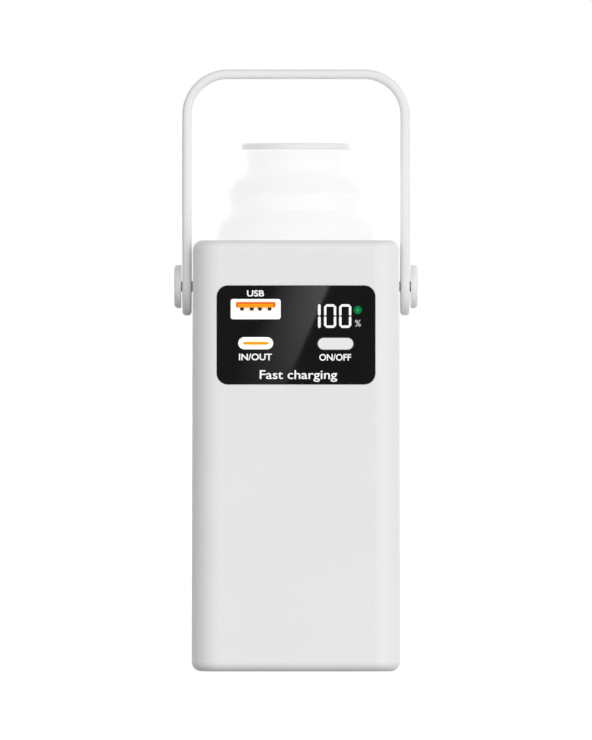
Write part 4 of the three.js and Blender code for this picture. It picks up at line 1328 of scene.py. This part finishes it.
def hub_cap(side):
    """The round cap over a pivot, its face slightly dished inside a narrow rim."""
    node = f"hub_cap_{side}"
    low, high = extent(node)
    radius = (high.z - low.z) / 2
    inner, outer = (low.x, high.x) if side == "right" else (-high.x, -low.x)
    corners = [
        (HUB_BORE, inner, 0.1),
        (radius, inner, 0.15),
        (radius, outer, 1.0),
        (radius - 2.1, outer, 0.3),
        (radius - 2.4, outer - 0.18, 0.3),
        (0, outer - 0.12, 0),
    ]
    profile = [(0, outer - HUB_COVER), (HUB_BORE, outer - HUB_COVER)] + filleted(corners)
    cap = as_object(f"hub_{side}", turned(profile, HUB_STEPS, "X"))
    if side == "left":
        cap.data.transform(Matrix.Rotation(math.pi, 4, "Z"))
    cap.data.transform(Matrix.Translation((0, 0, PIVOT_Z * MM)))
    smooth(cap)
    show(cap, HANDLE, "root", [node])


handle()
hub_cap("left")
hub_cap("right")


# ---------- Anchor bar ----------

bar_mesh = slab_y(rect_at(*BAR, 8), BAR_LOW.y, BAR_HIGH.y, 0.35)
finished("anchor_bar", bar_mesh, HOUSING, "root", ["cord_anchor_bar"])


# ---------- Floor and light ----------

BASE_LIGHT = 0.74
SIDE_TILT = 0.335  # added from the right and taken from the left
FACE_LIGHT = 1.02  # added from straight in front and straight behind
ABOVE_LOSS, BELOW_LOSS = 0.375, 0.975  # taken from straight above and straight below
KEY_SIDE, KEY_FRONT = 0.5, 0.866  # the key comes from 30 degrees right of the front
KEY_LIGHT, KEY_FOCUS = 0.12, 8.0
LEFT_TINT, RIGHT_TINT = (1.004, 0.991, 0.988, 1), (1.008, 1.012, 1.024, 1)
FLOOR_SIZE, FLOOR_DROP, FLOOR_GLOW = 40.0, 0.0001, 0.72
FLAG_DISTANCE, FLAG_REACH = 0.2, 0.065
STRIP_LIGHT, STRIP_LOW_SHARE = 1.75, 0.26  # light at the top of the strip, and the share of it at the foot
STRIP_RISE = 0.0002  # how far the strip stands off the flag
STRIP_WIDTH, STRIP_FADE = 22, 15.5  # reach of the strip, and of its soft side, as seen in the panel
GLARE_TOP, GLARE_FOOT = (8.8, 105.3), (-2.26, 79.6)  # ends of the glare's crisp edge, in (x, z) on the panel


def world_light():
    """Studio light, brightest in front and behind, dimmer from the left, above and below."""
    world = bpy.data.worlds.new("studio")
    bpy.context.scene.world = world
    studio = Tree(world)
    maths = studio.maths
    direction = studio.add("ShaderNodeTexCoord").outputs["Generated"]
    x, y, z = studio.add("ShaderNodeSeparateXYZ", {0: direction}).outputs
    sideways = maths("MULTIPLY_ADD", x, SIDE_TILT, BASE_LIGHT)
    faces = maths("MULTIPLY_ADD", maths("MULTIPLY", y, y), FACE_LIGHT, sideways)
    above = maths("MULTIPLY_ADD", maths("MAXIMUM", z, 0.0), -ABOVE_LOSS, faces)
    below = maths("MULTIPLY_ADD", maths("MINIMUM", z, 0.0), BELOW_LOSS, above)
    towards_key = maths("MULTIPLY_ADD", x, KEY_SIDE, maths("MULTIPLY", y, -KEY_FRONT))
    key = maths("POWER", maths("MAXIMUM", towards_key, 0.0), KEY_FOCUS)
    strength = maths("MAXIMUM", maths("MULTIPLY_ADD", key, KEY_LIGHT, below), 0.0)
    lighting = studio.tree.nodes["Background"]
    rightward = maths("MULTIPLY_ADD", x, 0.5, 0.5)
    studio.put(lighting.inputs["Color"], studio.mixed(rightward, LEFT_TINT, RIGHT_TINT))
    studio.put(lighting.inputs["Strength"], strength)

    seen = studio.add("ShaderNodeBackground", {"Color": WHITE, "Strength": 1.0})
    to_camera = studio.add("ShaderNodeLightPath").outputs["Is Camera Ray"]
    chooser = studio.add("ShaderNodeMixShader", enumerate((to_camera, lighting.outputs[0], seen.outputs[0])))
    studio.put(studio.tree.nodes["World Output"].inputs["Surface"], chooser.outputs[0])


def stage_sheet(name, corners, nodes, hidden_from):
    """A flat sheet of the studio that some kinds of ray don't see."""
    data = bpy.data.meshes.new(name)
    data.from_pydata(corners, [], [(0, 1, 2, 3)])
    data.materials.append(nodes.material)
    sheet = in_scene(name, data)
    for ray in hidden_from:
        setattr(sheet, f"visible_{ray}", False)


def studio_floor():
    """White paper under the object, a little below its base."""
    nodes = Nodes("floor_paper")
    nodes.clouded(3, 3, grey(196), grey(200))
    nodes.set(Roughness=0.9, Specular_IOR_Level=0.0, Emission_Color=WHITE, Emission_Strength=FLOOR_GLOW)
    size, z = FLOOR_SIZE, -FLOOR_DROP
    corners = [(-size, -size, z), (size, -size, z), (size, size, z), (-size, size, z)]
    stage_sheet("floor", corners, nodes, ("diffuse", "glossy"))


def reflector():
    """A dark flag with one bright strip, in front of the panel. Only glossy reflections see it."""
    y = FRONT * MM - FLAG_DISTANCE
    spread = 1 + FLAG_DISTANCE / VIEW_DISTANCE
    z_low, z_high = MIDDLE_Z - FLAG_REACH, MIDDLE_Z + FLAG_REACH

    def on_card(x, z):
        return x * MM * spread, MIDDLE_Z + (z * MM - MIDDLE_Z) * spread

    top, foot = on_card(*GLARE_TOP), on_card(*GLARE_FOOT)
    lean = (top[0] - foot[0]) / (top[1] - foot[1])
    edge = foot[0] - lean * foot[1]  # x of the crisp edge at height 0
    flag = Nodes("flag_surface")
    strip = Nodes("strip_surface")
    for nodes in (flag, strip):
        nodes.set(Roughness=1.0, Specular_IOR_Level=0.0, Base_Color=BLACK)
    across = strip.add("ShaderNodeVectorMath", {0: strip.place, 1: (1, 0, -lean)}, operation="DOT_PRODUCT")
    fade = strip.ramp(across.outputs["Value"], edge - STRIP_FADE * MM * spread, edge, 0, 1)
    height = strip.height_of(strip.place)
    climb = strip.ramp(height, foot[1], top[1], STRIP_LOW_SHARE * STRIP_LIGHT, STRIP_LIGHT)
    strip.set(Emission_Color=WHITE, Emission_Strength=strip.maths("MULTIPLY", fade, climb))

    for name, nodes, rise, left, right_low, right_high in (
        ("flag", flag, 0, -FLAG_REACH, FLAG_REACH, FLAG_REACH),
        ("strip", strip, STRIP_RISE, -STRIP_WIDTH * MM * spread, edge + lean * z_low, edge + lean * z_high),
    ):
        rows = [(left, z_low), (right_low, z_low), (right_high, z_high), (left, z_high)]
        corners = [(x, y + rise, z) for x, z in rows]
        stage_sheet(name, corners, nodes, ("camera", "diffuse", "shadow", "transmission"))


bpy.context.scene.view_settings.view_transform = "Standard"
world_light()
studio_floor()
reflector()
